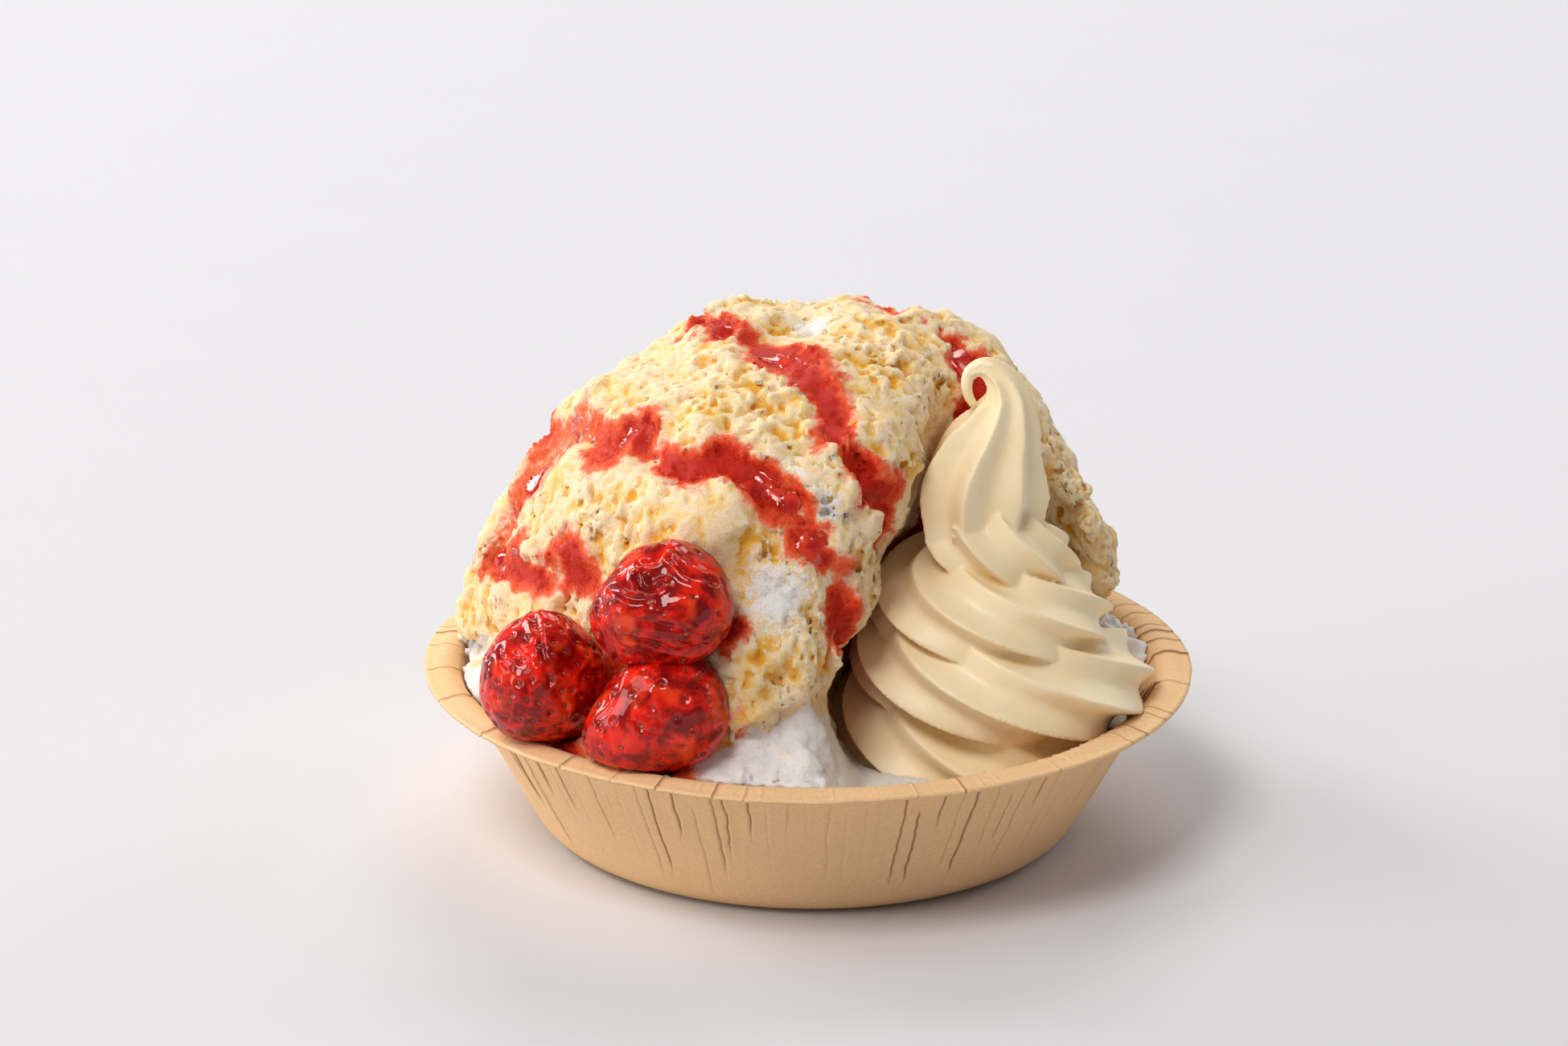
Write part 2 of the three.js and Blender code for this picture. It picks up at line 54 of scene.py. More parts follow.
import bpy
import numpy as np
from bpy.props import FloatProperty, FloatVectorProperty, IntProperty, PointerProperty
from bpy.types import Operator, Panel, PropertyGroup
from mathutils import Euler, Matrix, Vector

bl_info = {
    "name": "Shaved Ice Dessert",
    "version": (1, 0, 0),
    "blender": (4, 5, 0),
    "location": "3D View > Sidebar > Dessert",
    "description": "Builds a bowl of shaved ice with soft serve and strawberries around its plain solids",
    "category": "Object",
}

CAD_BOX = [list(corner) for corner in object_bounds()]
MM = 0.001
TOP = CAD_BOX[1][2] - 0.05 * MM
TURN = 2 * math.pi
BODY = "root"

# ---------------------------------------------------------------- sizes in millimetres, as in the solids

BOWL = dict(flange=82.5, height=36.0, wall=76.0, foot=51.5, corner=9.0, board=0.7, rise=0.5, drop=0.2)
CROWN_SHARE = 1 / 1.4  # of the flange's width that its rise takes up
LIP_START = 0.6  # share of the flange's width from which its edge drops
ICE_GAP = 0.5  # between the ice and the board
WALL_SLANT = 0.85  # distance to the sloped wall as a share of the level distance to it
HEAP = dict(x=-1.0, y=3.0, half_width=67.5, half_depth=64.0, height=73.5, squareness=2.2)
HUB = np.array([-12.0, 8.0, 4.0])
NICHE = dict(tip=108.5, slope=0.565, widest=36.0, start=-94.0, end=-45.0, left=28.0, right=9.0)
FLOOR = dict(level=35.2, slope=0.55, run=26.0, under_swirl=26.0, start=-82.0, step=18.0, rounding=6.0)
# Bulges and hollows of the ice: azimuth and elevation in degrees from the hub, reach and height.
LUMPS = [
    (-150, 86, 10, 4), (5, 75, 18, 3.5), (-50, 83, 12, -5), (60, 72, 22, 2), (0, 63, 14, 4.5),
    (-8, 50, 14, 3.5), (-9, 39, 5, 7), (-164, 68, 16, 1), (-157, 62, 8, -3), (-172, 43, 12, 1.5),
    (-112, 67, 18, 2), (-98, 54, 7, 5), (-87, 47, 12, -5), (-58, 62, 14, 2), (-86, 38, 14, 4),
    (-84, 29, 15, 3), (-120, 38, 22, -4), (178, 29, 16, 6), (150, 40, 28, 3), (95, 45, 30, 3.5),
    (40, 45, 26, 3), (110, 65, 20, -3),
]
CHANNEL = dict(reach=4.5, depth=2.2)  # melted into the ice by the sauce
# The sauce's runs over the ice: azimuth and elevation in degrees from the hub.
SAUCE_RUNS = [
    [(60, 60), (85, 74), (150, 82), (-170, 85), (-122, 84)],
    [(-95, 83), (-87, 82), (-73, 78), (-69, 72), (-68, 67), (-67, 62), (-65, 57), (-60, 56)],
    [(-60, 56), (-54, 56), (-43, 58), (-32, 60)],
    [
        (165, 60), (-175, 61), (-164, 64), (-150, 65), (-138, 64),
        (-131, 65), (-128, 67), (-124, 65), (-117, 63),
    ],
    [
        (-117, 63), (-108, 61), (-99, 62), (-91, 60), (-86, 58),
        (-83, 57), (-80, 54), (-77, 51), (-73, 48),
    ],
    [(-73, 48), (-72, 44), (-71, 40)],
    [(-178, 44), (-165, 45), (-152, 46), (-143, 46), (-135, 47), (-127, 47)],
    [(-163, 64), (-166, 60), (-167, 56), (-168, 51), (-165, 46)],
    [(80, 68), (30, 74), (5, 72), (-4, 70), (-11, 66), (-16, 62), (-14, 57), (-9, 53)],
    [(-9, 53), (-11, 49), (-9, 44), (-8, 39), (-6, 33), (0, 28)],
    [(15, 48), (50, 58), (90, 55), (130, 52), (160, 46), (178, 38)],
    [(35, 30), (62, 40), (92, 38), (125, 36), (145, 30)],
]
CRAGS = [(15.0, 2.2, 3), (7.5, 1.8, 7)]  # size, height and seed of each layer
SWIRL = dict(x=39.5, y=-20.0, flutes=7, squash=0.78, depth=0.26, sag=0.3)
# The rope of soft serve at each half turn: coil radius, height above the rim and rope radius.
COILS = np.array([
    (14, -13, 13), (19.5, -3.5, 15.5), (19, 5, 15), (17.5, 12, 13.6), (11.8, 19.5, 12.7),
    (14.5, 23.5, 13), (5.5, 30, 11.5), (4.5, 37, 14.2),
])
COIL_TURNS = 3.4
CORE = [(16, -14), (17, 4), (10, 22), (3, 34)]  # soft serve inside the coils: radius, height above the rim
# The drawn-up tip: place from the axis at the rim, and rope radius.
TIP = np.array([
    (-3.6, -1, 44.5, 14.8), (-2.2, 0, 52, 12.2), (0.2, 0, 59.5, 8.2), (0.9, 0, 65.2, 5.4),
    (-0.9, 0, 69.4, 3.6), (-4.1, 0, 71.4, 2.4), (-6.7, 0, 70.2, 1.7), (-7.4, 0, 67.6, 1.4),
    (-6.9, 0, 65, 1.2), (-5.8, 0, 63.2, 1),
])
# Each strawberry's place, half sizes, taper, turn in degrees, random seed, share of the most seeds,
# folds (depth, and azimuths and elevations along it) and dips (azimuth, elevation, reach and depth).
BERRIES = {
    "strawberry_top": dict(
        at=(-30, -58, 67.3),
        half=(14.6, 12.5, 13),
        taper=0.12,
        turn=(0, -12, 10),
        seed=11,
        seeds=0.35,
        folds=[
            (0.62, [(-126, 48), (-106, 38), (-88, 43)]),
            (0.56, [(-56, 70), (-49, 47), (-31, 32)]),
            (0.43, [(-106, 9), (-87, 5), (-62, -3), (-17, -13)]),
            (0.5, [(-122, -8), (-98, -14), (-76, -21), (-49, -21)]),
            (0.37, [(-163, 10), (-142, -8), (-145, -36)]),
            (0.43, [(43, 83), (-105, 71), (-132, 63)]),
            (0.37, [(-153, 29), (-122, 27), (-103, 28)]),
            (0.43, [(60, 40), (90, 25), (130, 20)]),
        ],
        dips=[(-99, 46, 4.6, 2.0), (-60, 8, 6, -0.8), (-118, 15, 5, -0.8)],
    ),
    "strawberry_left": dict(
        at=(-53.3, -48, 48),
        half=(13.6, 12.5, 13.4),
        taper=-0.2,
        turn=(0, 35, 20),
        seed=23,
        seeds=1.0,
        folds=[
            (0.35, [(149, 77), (-93, 47), (-88, 20)]),
            (0.3, [(-24, 73), (-42, 52), (-1, 34)]),
            (0.25, [(-156, 38), (-127, 28), (-118, 7)]),
            (0.2, [(-79, 9), (-68, -12), (-71, -37)]),
            (0.25, [(-35, 28), (-53, 13), (-44, -4)]),
        ],
        dips=[(-60, 40, 8, 1.2), (-140, 5, 8, -0.6)],
    ),
    "strawberry_front": dict(
        at=(-31.5, -63, 46),
        half=(15.4, 12, 12),
        taper=0.3,
        turn=(0, -28, 12),
        seed=37,
        seeds=0.5,
        folds=[
            (0.2, [(1, 41), (-55, 33), (-53, -3)]),
            (0.16, [(170, 61), (-142, 34), (-150, 5)]),
            (0.16, [(-86, 45), (-73, 22), (-71, -4)]),
            (0.12, [(-109, 13), (-98, 5), (-81, 3)]),
            (0.12, [(-135, -4), (-123, -27), (-101, -30)]),
        ],
        dips=[(-60, 15, 7, 0.8), (-110, 35, 7, -0.5)],
    ),
}

MOST_TRIANGLES = dict(ice=196000, sauce=90000, soft_serve=190000)
SEED_GRID = (3, 8)  # rows and columns of a strawberry seed
# The board's grid: rows up the wall, and columns as shares of the way from a crease to the next one.
WALL_ROWS = 42
COLUMNS = np.array([0, 0.045, 0.09, 0.15, 0.25, 0.5, 0.75, 0.85, 0.91, 0.955])

# Soft lights: place in metres, width, share of the key light's power and colour.
STUDIO_LIGHTS = [
    ("front_left", (-1.3, -2.1, 3.5), 1.5, 1.2, (1.0, 0.985, 0.96)),
    ("left_window", (-3.6, -1.0, 1.0), 1.6, 0.5, (1.0, 0.985, 0.96)),
    ("back_left", (-3.2, 2.0, 1.5), 1.6, 1.1, (1.0, 0.99, 0.97)),
    ("left_top", (-2.2, -0.6, 3.2), 1.6, 0.3, (1.0, 0.99, 0.97)),
    ("back_right", (3.0, 2.2, 1.8), 2.0, 0.35, (0.98, 0.98, 1.0)),
    ("back_top", (0.3, 2.8, 2.6), 2.0, 0.7, (1.0, 0.99, 0.98)),
]
ROOM_LIGHT = 0.2

# Patches on the ice: azimuth and elevation in degrees from the hub, and reach.
SOAKED = [
    (-123, 24, 9), (-104, 25, 11), (-94, 33, 7), (-93, 41, 5), (-112, 33, 14), (-134, 48, 9),
    (-155, 47, 8), (-62, 51, 6), (-12, 38, 8),
]
FADED = [(-160, 60, 17), (-172, 50, 12)]  # where the sauce has run off
FROSTED = [
    (-82, 58.5, 5), (-77, 55, 6), (-17, 83, 5), (-7, 50, 6), (-13, 45, 6), (-85, 46, 8), (-71, 48, 4),
    (70, 62, 8), (120, 50, 9), (165, 52, 6),
]
GLASSY = [(-85.5, 46, 6), (-60, 56, 5), (-98, 54, 5)]  # smooth wet places with few pits


# ---------------------------------------------------------------- random fields


def lattice(x, y, z, seed):
    """A fixed random number from 0 to 1 for each lattice point."""
    h = x * np.uint32(374761393) + y * np.uint32(668265263)
    h = h + z * np.uint32(1274126177) + np.uint32(seed * 974711 % 2**32)
    h = (h ^ (h >> np.uint32(13))) * np.uint32(1103515245)
    h = (h ^ (h >> np.uint32(16))) * np.uint32(668265263)
    return (h ^ (h >> np.uint32(15))).astype(np.float32) * np.float32(2.0**-32)


def noise(p, size, seed):
    """A smooth random field from -1 to 1 with features of the given size, at points p."""
    q = p / size
    cell = np.floor(q)
    f = (q - cell).astype(np.float32)
    f = f * f * (3 - 2 * f)
    cell = cell.astype(np.int64).astype(np.uint32)
    total = 0
    for corner in range(8):
        step = [corner & 1, (corner >> 1) & 1, corner >> 2]
        weight = 1
        for axis in range(3):
            weight = weight * (f[:, axis] if step[axis] else 1 - f[:, axis])
        at = [cell[:, axis] + np.uint32(step[axis]) for axis in range(3)]
        total = total + weight * lattice(*at, seed)
    return 2 * total - 1


def smoothstep(low, high, x):
    t = np.clip((x - low) / (high - low), 0, 1)
    return t * t * (3 - 2 * t)


def bell(x, width=1.0):
    """A bell curve: 1 where x is 0, and 0.37 at the width."""
    return np.exp(-((x / width) ** 2))


def round_angles(count):
    """Angles spread evenly over a whole turn."""
    return np.arange(count) * TURN / count


def along(values, t):
    """Catmull-Rom values of a list of numbers or points at fractional indexes t."""
    values = np.asarray(values, float)
    i = np.minimum(np.floor(t).astype(int), len(values) - 2)
    a, b, c, d = (values[np.clip(i + k, 0, len(values) - 1)] for k in (-1, 0, 1, 2))
    f = (t - i).reshape(-1, *[1] * (values.ndim - 1))
    return b + 0.5 * f * (c - a + f * (2 * a - 5 * b + 4 * c - d + f * (3 * (b - c) + d - a)))


def unit(v):
    return v / np.maximum(np.linalg.norm(v, axis=-1, keepdims=True), 1e-9)


def direction(azimuth, elevation):
    """Unit vectors for azimuths and elevations in degrees."""
    azimuth, elevation = np.radians(azimuth), np.radians(elevation)
    flat = np.cos(elevation)
    return np.stack([flat * np.cos(azimuth), flat * np.sin(azimuth), np.sin(elevation)], -1)


# ---------------------------------------------------------------- the form of the ice


def rounded_max(a, b, rounding):
    """The larger of two distances, with the corner between their surfaces rounded off."""
    near = np.maximum(rounding - np.abs(a - b), 0)
    return np.maximum(a, b) + near * near / (4 * rounding)


def swept_distance(p, start, end):
    """Distance in plan from the swirl's axis, swept outwards over a range of azimuths in degrees."""
    middle, half = math.radians((start + end) / 2), math.radians((end - start) / 2)
    x, y = p[:, 0] - SWIRL["x"], p[:, 1] - SWIRL["y"]
    ahead = x * math.cos(middle) + y * math.sin(middle)
    aside = np.abs(y * math.cos(middle) - x * math.sin(middle))
    away = np.arctan2(aside, ahead) - half
    reach = np.hypot(ahead, aside)
    return np.where(away <= 0, 0, reach * np.where(away < math.pi / 2, np.sin(away), 1))


def floor_height(p):
    """Height of the loose ice inside the rim, lower where the swirl stands."""
    edge = swept_distance(p, FLOOR["start"], NICHE["end"]) - NICHE["widest"]
    t = smoothstep(-FLOOR["step"] / 3, 2 * FLOOR["step"] / 3, edge)
    inwards = BOWL["wall"] - BOWL["board"] - ICE_GAP - np.hypot(p[:, 0], p[:, 1])
    banked = FLOOR["level"] + FLOOR["slope"] * np.clip(inwards, 0, FLOOR["run"])
    return FLOOR["under_swirl"] + (banked - FLOOR["under_swirl"]) * t


def outside_ice(p):
    """Distance outside the plain ice: the heap less the swirl's niche, together with the floor."""
    n = HEAP["squareness"]
    x, y = (p[:, 0] - HEAP["x"]) / HEAP["half_width"], (p[:, 1] - HEAP["y"]) / HEAP["half_depth"]
    across = np.hypot(x, y)
    up = np.abs(p[:, 2] - BOWL["height"]) / HEAP["height"]
    heap = ((across**n + up**n) ** (1 / n) - 1) * HEAP["half_width"]
    radius = np.minimum(NICHE["widest"], NICHE["slope"] * (NICHE["tip"] - p[:, 2]))
    niche = swept_distance(p, NICHE["start"], NICHE["end"]) - radius
    left = smoothstep(-12, 18, SWIRL["x"] - p[:, 0])
    carved = rounded_max(heap, -niche, NICHE["right"] + (NICHE["left"] - NICHE["right"]) * left)
    return -rounded_max(-carved, floor_height(p) - p[:, 2], FLOOR["rounding"])


def plain_points(angles):
    """Where rays from the hub leave the plain ice, for rows of azimuth and elevation in degrees."""
    ray = direction(*np.asarray(angles, float)[:, :2].T)
    first, last, step, halvings = 8.0, 135.0, 1.4, 14
    near, far = np.full(len(ray), first), np.full(len(ray), last)
    found = np.zeros(len(ray), bool)
    for t in np.arange(first + step, last, step):
        out = (outside_ice(HUB + ray * t) > 0) & ~found
        far[out] = t
        near[~found & ~out] = t
        found |= out
    for _ in range(halvings):
        middle = (near + far) / 2
        inside = outside_ice(HUB + ray * middle[:, None]) <= 0
        near, far = np.where(inside, middle, near), np.where(inside, far, middle)
    return HUB + ray * near[:, None]


def wall_lean():
    """The wall's lean from upright, at which it leaves the foot's rounded corner."""
    across, up = BOWL["wall"] - BOWL["foot"], BOWL["height"] - BOWL["corner"]
    return math.atan2(up, across) - math.acos(BOWL["corner"] / math.hypot(across, up))


def wall_radius(z):
    """Inside radius of the bowl at a height."""
    b, lean = BOWL, wall_lean()
    r = b["corner"] - b["board"]
    turn_height = b["corner"] + r * math.sin(lean)
    turn_radius = b["foot"] + r * math.cos(lean)
    below = b["foot"] + np.sqrt(np.maximum(r**2 - (b["corner"] - np.minimum(z, b["corner"])) ** 2, 0))
    return np.where(z < turn_height, below, turn_radius - math.tan(lean) * (z - turn_height))


def angles_of(p):
    """Azimuth and elevation of points from the hub, in degrees."""
    x, y, z = (p - HUB).T
    return np.degrees(np.arctan2(y, x)), np.degrees(np.arctan2(z, np.hypot(x, y)))


def nearest(p, samples, chunk=4000):
    """Distance from each point to the nearest of the samples."""
    out = np.empty(len(p), np.float32)
    samples = samples.astype(np.float32)
    for i in range(0, len(p), chunk):
        d = p[i : i + chunk, None].astype(np.float32) - samples[None]
        out[i : i + chunk] = np.sqrt(np.einsum("abc,abc->ab", d, d).min(1))
    return out


def patch_weight(p, patches):
    """How much points lie in any of the patches, from 0 to 1."""
    centres = plain_points(patches)
    weight = np.zeros(len(p))
    for centre, (_, _, reach) in zip(centres, patches):
        d2 = ((p - centre) ** 2).sum(1)
        weight = np.maximum(weight, np.exp(-d2 / reach**2))
    return weight


LUMP_CENTRES = plain_points(LUMPS)


def sauce_samples(spacing=1.0):
    """Points at an even spacing along the sauce's runs, on the plain ice."""
    samples = []
    for run in SAUCE_RUNS:
        points = plain_points(run)
        line = along(points, np.linspace(0, len(points) - 1, 40 * len(points)))
        length = np.concatenate([[0], np.cumsum(np.linalg.norm(np.diff(line, axis=0), axis=1))])
        at = np.arange(0, length[-1], spacing)
        samples.append(np.stack([np.interp(at, length, line[:, k]) for k in range(3)], 1))
    return np.concatenate(samples)


SAUCE_LINE = sauce_samples()


def smooth_ice(p):
    """Distance outside the ice with its lumps and crags, before its channels, pits and grain."""
    out = np.zeros(len(p))
    for centre, (_, _, reach, height) in zip(LUMP_CENTRES, LUMPS):
        out += height * np.exp(-((p - centre) ** 2).sum(1) / reach**2)
    for size, height, seed in CRAGS:
        out += height * noise(p, size, seed)
    r = np.hypot(p[:, 0], p[:, 1])
    near_wall, fade_height = r > 60, 7
    fade = np.where(near_wall, smoothstep(0, fade_height, p[:, 2] - floor_height(p)), 1)
    heap = outside_ice(p) - out * fade
    wall = r - wall_radius(np.minimum(p[:, 2], BOWL["height"])) + ICE_GAP
    bottom = BOWL["board"] + ICE_GAP - p[:, 2]
    return np.maximum(np.maximum(heap, wall * WALL_SLANT), bottom)


# ---------------------------------------------------------------- bodies from distance fields

CUBE = 4
CORNERS = [(a, b, c) for a in (0, 1) for b in (0, 1) for c in (0, 1)]


class Block:
    """A block of evenly spaced points that holds how far each lies outside a body, in millimetres."""

    def __init__(self, low, high, pitch):
        self.low = np.array(low, float)
        self.pitch = pitch
        self.cubes = np.ceil((np.array(high) - self.low) / (pitch * CUBE)).astype(int)
        self.values = np.zeros(self.cubes * CUBE, np.float32)

    def fill(self, distance, band):
        """Sets the values, point by point where the surface is near and cube by cube elsewhere."""
        middle = np.moveaxis(np.indices(self.cubes), 0, -1).reshape(-1, 3) * CUBE + (CUBE - 1) / 2
        rough = distance(self.low + self.pitch * middle).reshape(self.cubes)
        view = self.values.reshape(*np.stack([self.cubes, [CUBE] * 3], 1).ravel()).transpose(0, 2, 4, 1, 3, 5)
        view[...] = rough[..., None, None, None]
        near = np.argwhere(np.abs(rough) < band)
        offsets = np.moveaxis(np.indices((CUBE,) * 3), 0, -1).reshape(1, -1, 3)
        points = self.low + self.pitch * (near[:, None] * CUBE + offsets)
        fine = distance(points.reshape(-1, 3)).astype(np.float32)
        view[tuple(near.T)] = fine.reshape(-1, CUBE, CUBE, CUBE)

    def part(self, centre, reach):
        """The slices of the block within reach of a point, and their offsets from it along each axis."""
        first = np.maximum(((centre - reach - self.low) / self.pitch).astype(int), 0)
        last = np.minimum(((centre + reach - self.low) / self.pitch).astype(int) + 2, self.values.shape)
        last = np.maximum(first, last)
        starts = zip(self.low, first, last, centre)
        x, y, z = (low + self.pitch * np.arange(a, b) - c for low, a, b, c in starts)
        return tuple(map(slice, first, last)), (x[:, None, None], y[None, :, None], z[None, None, :])

    def carve(self, centre, axes, radii, rounding):
        """Takes an ellipsoid out of the body, with a rounded edge."""
        part, (x, y, z) = self.part(centre, max(radii) + rounding + self.pitch)
        total = 0
        for axis, radius in zip(axes, radii):
            total = total + ((x * axis[0] + y * axis[1] + z * axis[2]) / radius) ** 2
        outside = (np.sqrt(total) - 1) * min(radii)
        self.values[part] = rounded_max(self.values[part], -outside, rounding)

    def sample(self, p):
        """The block's values at points, by trilinear interpolation."""
        q = (p - self.low) / self.pitch
        cell = np.clip(np.floor(q).astype(int), 0, np.array(self.values.shape) - 2)
        f = np.clip(q - cell, 0, 1)
        total = 0
        for corner in CORNERS:
            weight = 1
            for axis in range(3):
                weight = weight * (f[:, axis] if corner[axis] else 1 - f[:, axis])
            total = total + weight * self.values[tuple((cell + corner).T)]
        return total


def surface_net(values, low, pitch):
    """Points and quads of the surface where the values of a block change sign."""
    inside = values < 0
    count = sum(
        inside[
            a : inside.shape[0] - 1 + a, b : inside.shape[1] - 1 + b, c : inside.shape[2] - 1 + c
        ].astype(np.uint8)
        for a, b, c in CORNERS
    )
    mixed = (count > 0) & (count < 8)
    cells = np.argwhere(mixed)
    at_corner = [values[tuple((cells + corner).T)] for corner in CORNERS]
    total, number = np.zeros((len(cells), 3)), np.zeros(len(cells))
    for i, first in enumerate(CORNERS):
        for j, second in enumerate(CORNERS):
            if j <= i or sum(abs(a - b) for a, b in zip(first, second)) != 1:
                continue
            a, b = at_corner[i], at_corner[j]
            crossing = (a < 0) != (b < 0)
            t = np.where(crossing, a / np.where(crossing, a - b, 1), 0)
            point = np.array(first) + t[:, None] * (np.array(second) - first)
            total += point * crossing[:, None]
            number += crossing
    points = low + pitch * (cells + total / number[:, None])
    index = np.full(mixed.shape, -1, np.int32)
    index[mixed] = np.arange(len(cells))
    quads = []
    for axis in range(3):
        order = [(axis + k) % 3 for k in range(3)]
        turned, ids = np.transpose(inside, order), np.transpose(index, order)
        i, j, k = np.nonzero(turned[:-1, 1:-1, 1:-1] != turned[1:, 1:-1, 1:-1])
        ring = np.stack([ids[i, j, k], ids[i, j + 1, k], ids[i, j + 1, k + 1], ids[i, j, k + 1]], 1)
        backward = ~turned[i, j + 1, k + 1]
        ring[backward] = ring[backward, ::-1]
        quads.append(ring)
    return points, np.concatenate(quads)


# ---------------------------------------------------------------- mesh and material helpers


def add_mesh(name, points, faces, attributes=None):
    """A smooth mesh object from points in millimetres and rows of vertex numbers, all of one length."""
    mesh = bpy.data.meshes.new(name)
    mesh.vertices.add(len(points))
    mesh.vertices.foreach_set("co", (np.asarray(points) * MM).astype(np.float32).ravel())
    mesh.loops.add(faces.size)
    mesh.loops.foreach_set("vertex_index", faces.astype(np.int32).ravel())
    mesh.polygons.add(len(faces))
    mesh.polygons.foreach_set("loop_start", np.arange(0, faces.size, faces.shape[1], dtype=np.int32))
    mesh.update(calc_edges=True)
    mesh.validate()
    mesh.shade_smooth()
    piece = bpy.data.objects.new(name, mesh)
    bpy.context.scene.collection.objects.link(piece)
    set_attributes(piece, attributes or {})
    return piece


def set_attributes(piece, attributes):
    for name, values in attributes.items():
        layer = piece.data.attributes.new(name, "FLOAT", "POINT")
        layer.data.foreach_set("value", np.asarray(values, np.float32))


def mesh_values(piece, name):
    """The vectors of the given name at a mesh's points, one to a row."""
    values = np.empty(len(piece.data.vertices) * 3, np.float32)
    piece.data.vertices.foreach_get(name, values)
    return values.reshape(-1, 3).astype(float)


def mesh_points(piece):
    """The points of a piece's mesh in millimetres."""
    return mesh_values(piece, "co") / MM


def apply_modifiers(piece):
    """Makes what the piece's modifiers show its own mesh."""
    graph = bpy.context.evaluated_depsgraph_get()
    mesh = bpy.data.meshes.new_from_object(piece.evaluated_get(graph))
    old = piece.data
    piece.modifiers.clear()
    piece.data = mesh
    bpy.data.meshes.remove(old)
    mesh.shade_smooth()


def reduce_mesh(piece, triangles):
    """Collapses a mesh to about that many triangles, the flattest places first."""
    count = sum(len(face.vertices) - 2 for face in piece.data.polygons)
    if count > triangles:
        modifier = piece.modifiers.new("reduce", "DECIMATE")
        modifier.ratio = triangles / count
        apply_modifiers(piece)


def closed_surface(rows, columns):
    """Triangles of a grid whose columns go round, closed by one more point before it and one after it."""
    r, c = np.meshgrid(np.arange(rows - 1) * columns, np.arange(columns), indexing="ij")
    n = (c + 1) % columns
    a, b, c, d = (corner.ravel() for corner in (r + c, r + n, r + columns + n, r + columns + c))
    first, last = np.arange(columns), (rows - 1) * columns
    after = (first + 1) % columns
    ends = [
        np.stack([np.full(columns, rows * columns), after, first], 1),
        np.stack([np.full(columns, rows * columns + 1), last + first, last + after], 1),
    ]
    return np.concatenate([np.stack([a, b, c], 1), np.stack([a, c, d], 1), *ends])


def linear(*rgb):
    """A linear colour from sRGB numbers up to 255."""
    shares = [c / 255 for c in rgb]
    return tuple(c / 12.92 if c <= 0.04045 else ((c + 0.055) / 1.055) ** 2.4 for c in shares)


def tinted(colour, share):
    """A colour times one share, or times one for each channel."""
    return tuple(np.minimum(1, np.multiply(colour, share)))


class Nodes:
    """Builds one procedural material by short calls.

    Its glow is the light scattered under the surface: weight, depth in metres, and share of each channel.
    """

    def __init__(self, name, glow=None, **finish):
        self.material = bpy.data.materials.new(name)
        self.material.use_nodes = True
        self.tree = self.material.node_tree
        self.tree.nodes.clear()
        self.output = self.tree.nodes.new("ShaderNodeOutputMaterial")
        self.shader = self.tree.nodes.new("ShaderNodeBsdfPrincipled")
        self.tree.links.new(self.shader.outputs[0], self.output.inputs[0])
        for socket, value in finish.items():
            self.shader.inputs[socket.replace("_", " ")].default_value = value
        if glow:
            names = ("Subsurface Weight", "Subsurface Scale", "Subsurface Radius")
            for socket, value in zip(names, glow):
                self.shader.inputs[socket].default_value = value

    def node(self, kind, inputs=None, **settings):
        node = self.tree.nodes.new("ShaderNode" + kind)
        for key, value in settings.items():
            setattr(node, key, value)
        for key, value in (inputs or {}).items():
            self.put(node.inputs[key], value)
        return node

    def put(self, socket, value):
        if isinstance(value, bpy.types.NodeSocket):
            self.tree.links.new(value, socket)
        elif isinstance(value, bpy.types.Node):
            self.tree.links.new(value.outputs[0], socket)
        else:
            socket.default_value = (*value, 1.0) if socket.type == "RGBA" and len(value) == 3 else value

    def attribute(self, name):
        return self.node("Attribute", attribute_name=name).outputs["Fac"]

    def noise(self, size, detail=3.0, roughness=0.5, distortion=0.0, stretch=None):
        """Noise with features of the given size in millimetres, from 0 to 1."""
        vector = self.node("TexCoord").outputs["Object"]
        if stretch:
            vector = self.node("Mapping", {"Vector": vector, "Scale": stretch}).outputs[0]
        inputs = {"Vector": vector, "Scale": 1 / (size * MM), "Detail": detail, "Roughness": roughness}
        inputs["Distortion"] = distortion
        return self.node("TexNoise", inputs, noise_dimensions="3D").outputs["Fac"]

    def remap(self, value, low, high, start=0.0, end=1.0):
        """A smooth passage from start to end while a value goes from low to high."""
        inputs = {"Value": value, "From Min": low, "From Max": high, "To Min": start, "To Max": end}
        return self.node("MapRange", inputs, interpolation_type="SMOOTHSTEP", clamp=True).outputs[0]

    def specks(self, noise, most):
        """A noise as specks from -most to most."""
        return self.remap(noise, 0.3, 0.7, -most, most)

    def add(self, a, b):
        return self.node("Math", {0: a, 1: b}, operation="ADD").outputs[0]

    def fade(self, value, low, high, before, after, most=1.0):
        """A colour that passes into another one, or into most of it, while a value goes from low to high."""
        node = self.node("Mix", data_type="RGBA")
        self.put(node.inputs["Factor"], self.remap(value, low, high, 0.0, most))
        self.put(node.inputs[6], before)
        self.put(node.inputs[7], after)
        return node.outputs[2]

    def bump(self, height, strength, distance, normal=None):
        inputs = {"Height": height, "Strength": strength, "Distance": distance * MM}
        if normal:
            inputs["Normal"] = normal
        return self.node("Bump", inputs).outputs[0]

    def finish(self, **sockets):
        for socket, value in sockets.items():
            self.put(self.shader.inputs[socket.replace("_", " ")], value)
        return self.material


def dress(piece, material, slot, *replaced):
    """Gives a piece its material and body, and hides the solids that it stands for."""
    piece.data.materials.clear()
    piece.data.materials.append(material)
    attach(piece, BODY)
    if replaced:
        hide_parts(*replaced)
    return piece


# ---------------------------------------------------------------- settings


def colour_property(name, description, default):
    return FloatVectorProperty(
        name=name, description=description, subtype="COLOR", size=3, min=0, max=1, default=default
    )


def length_property(name, description, default, low, high):
    size = dict(default=default * MM, min=low * MM, max=high * MM)
    return FloatProperty(name=name, description=description, subtype="DISTANCE", unit="LENGTH", **size)


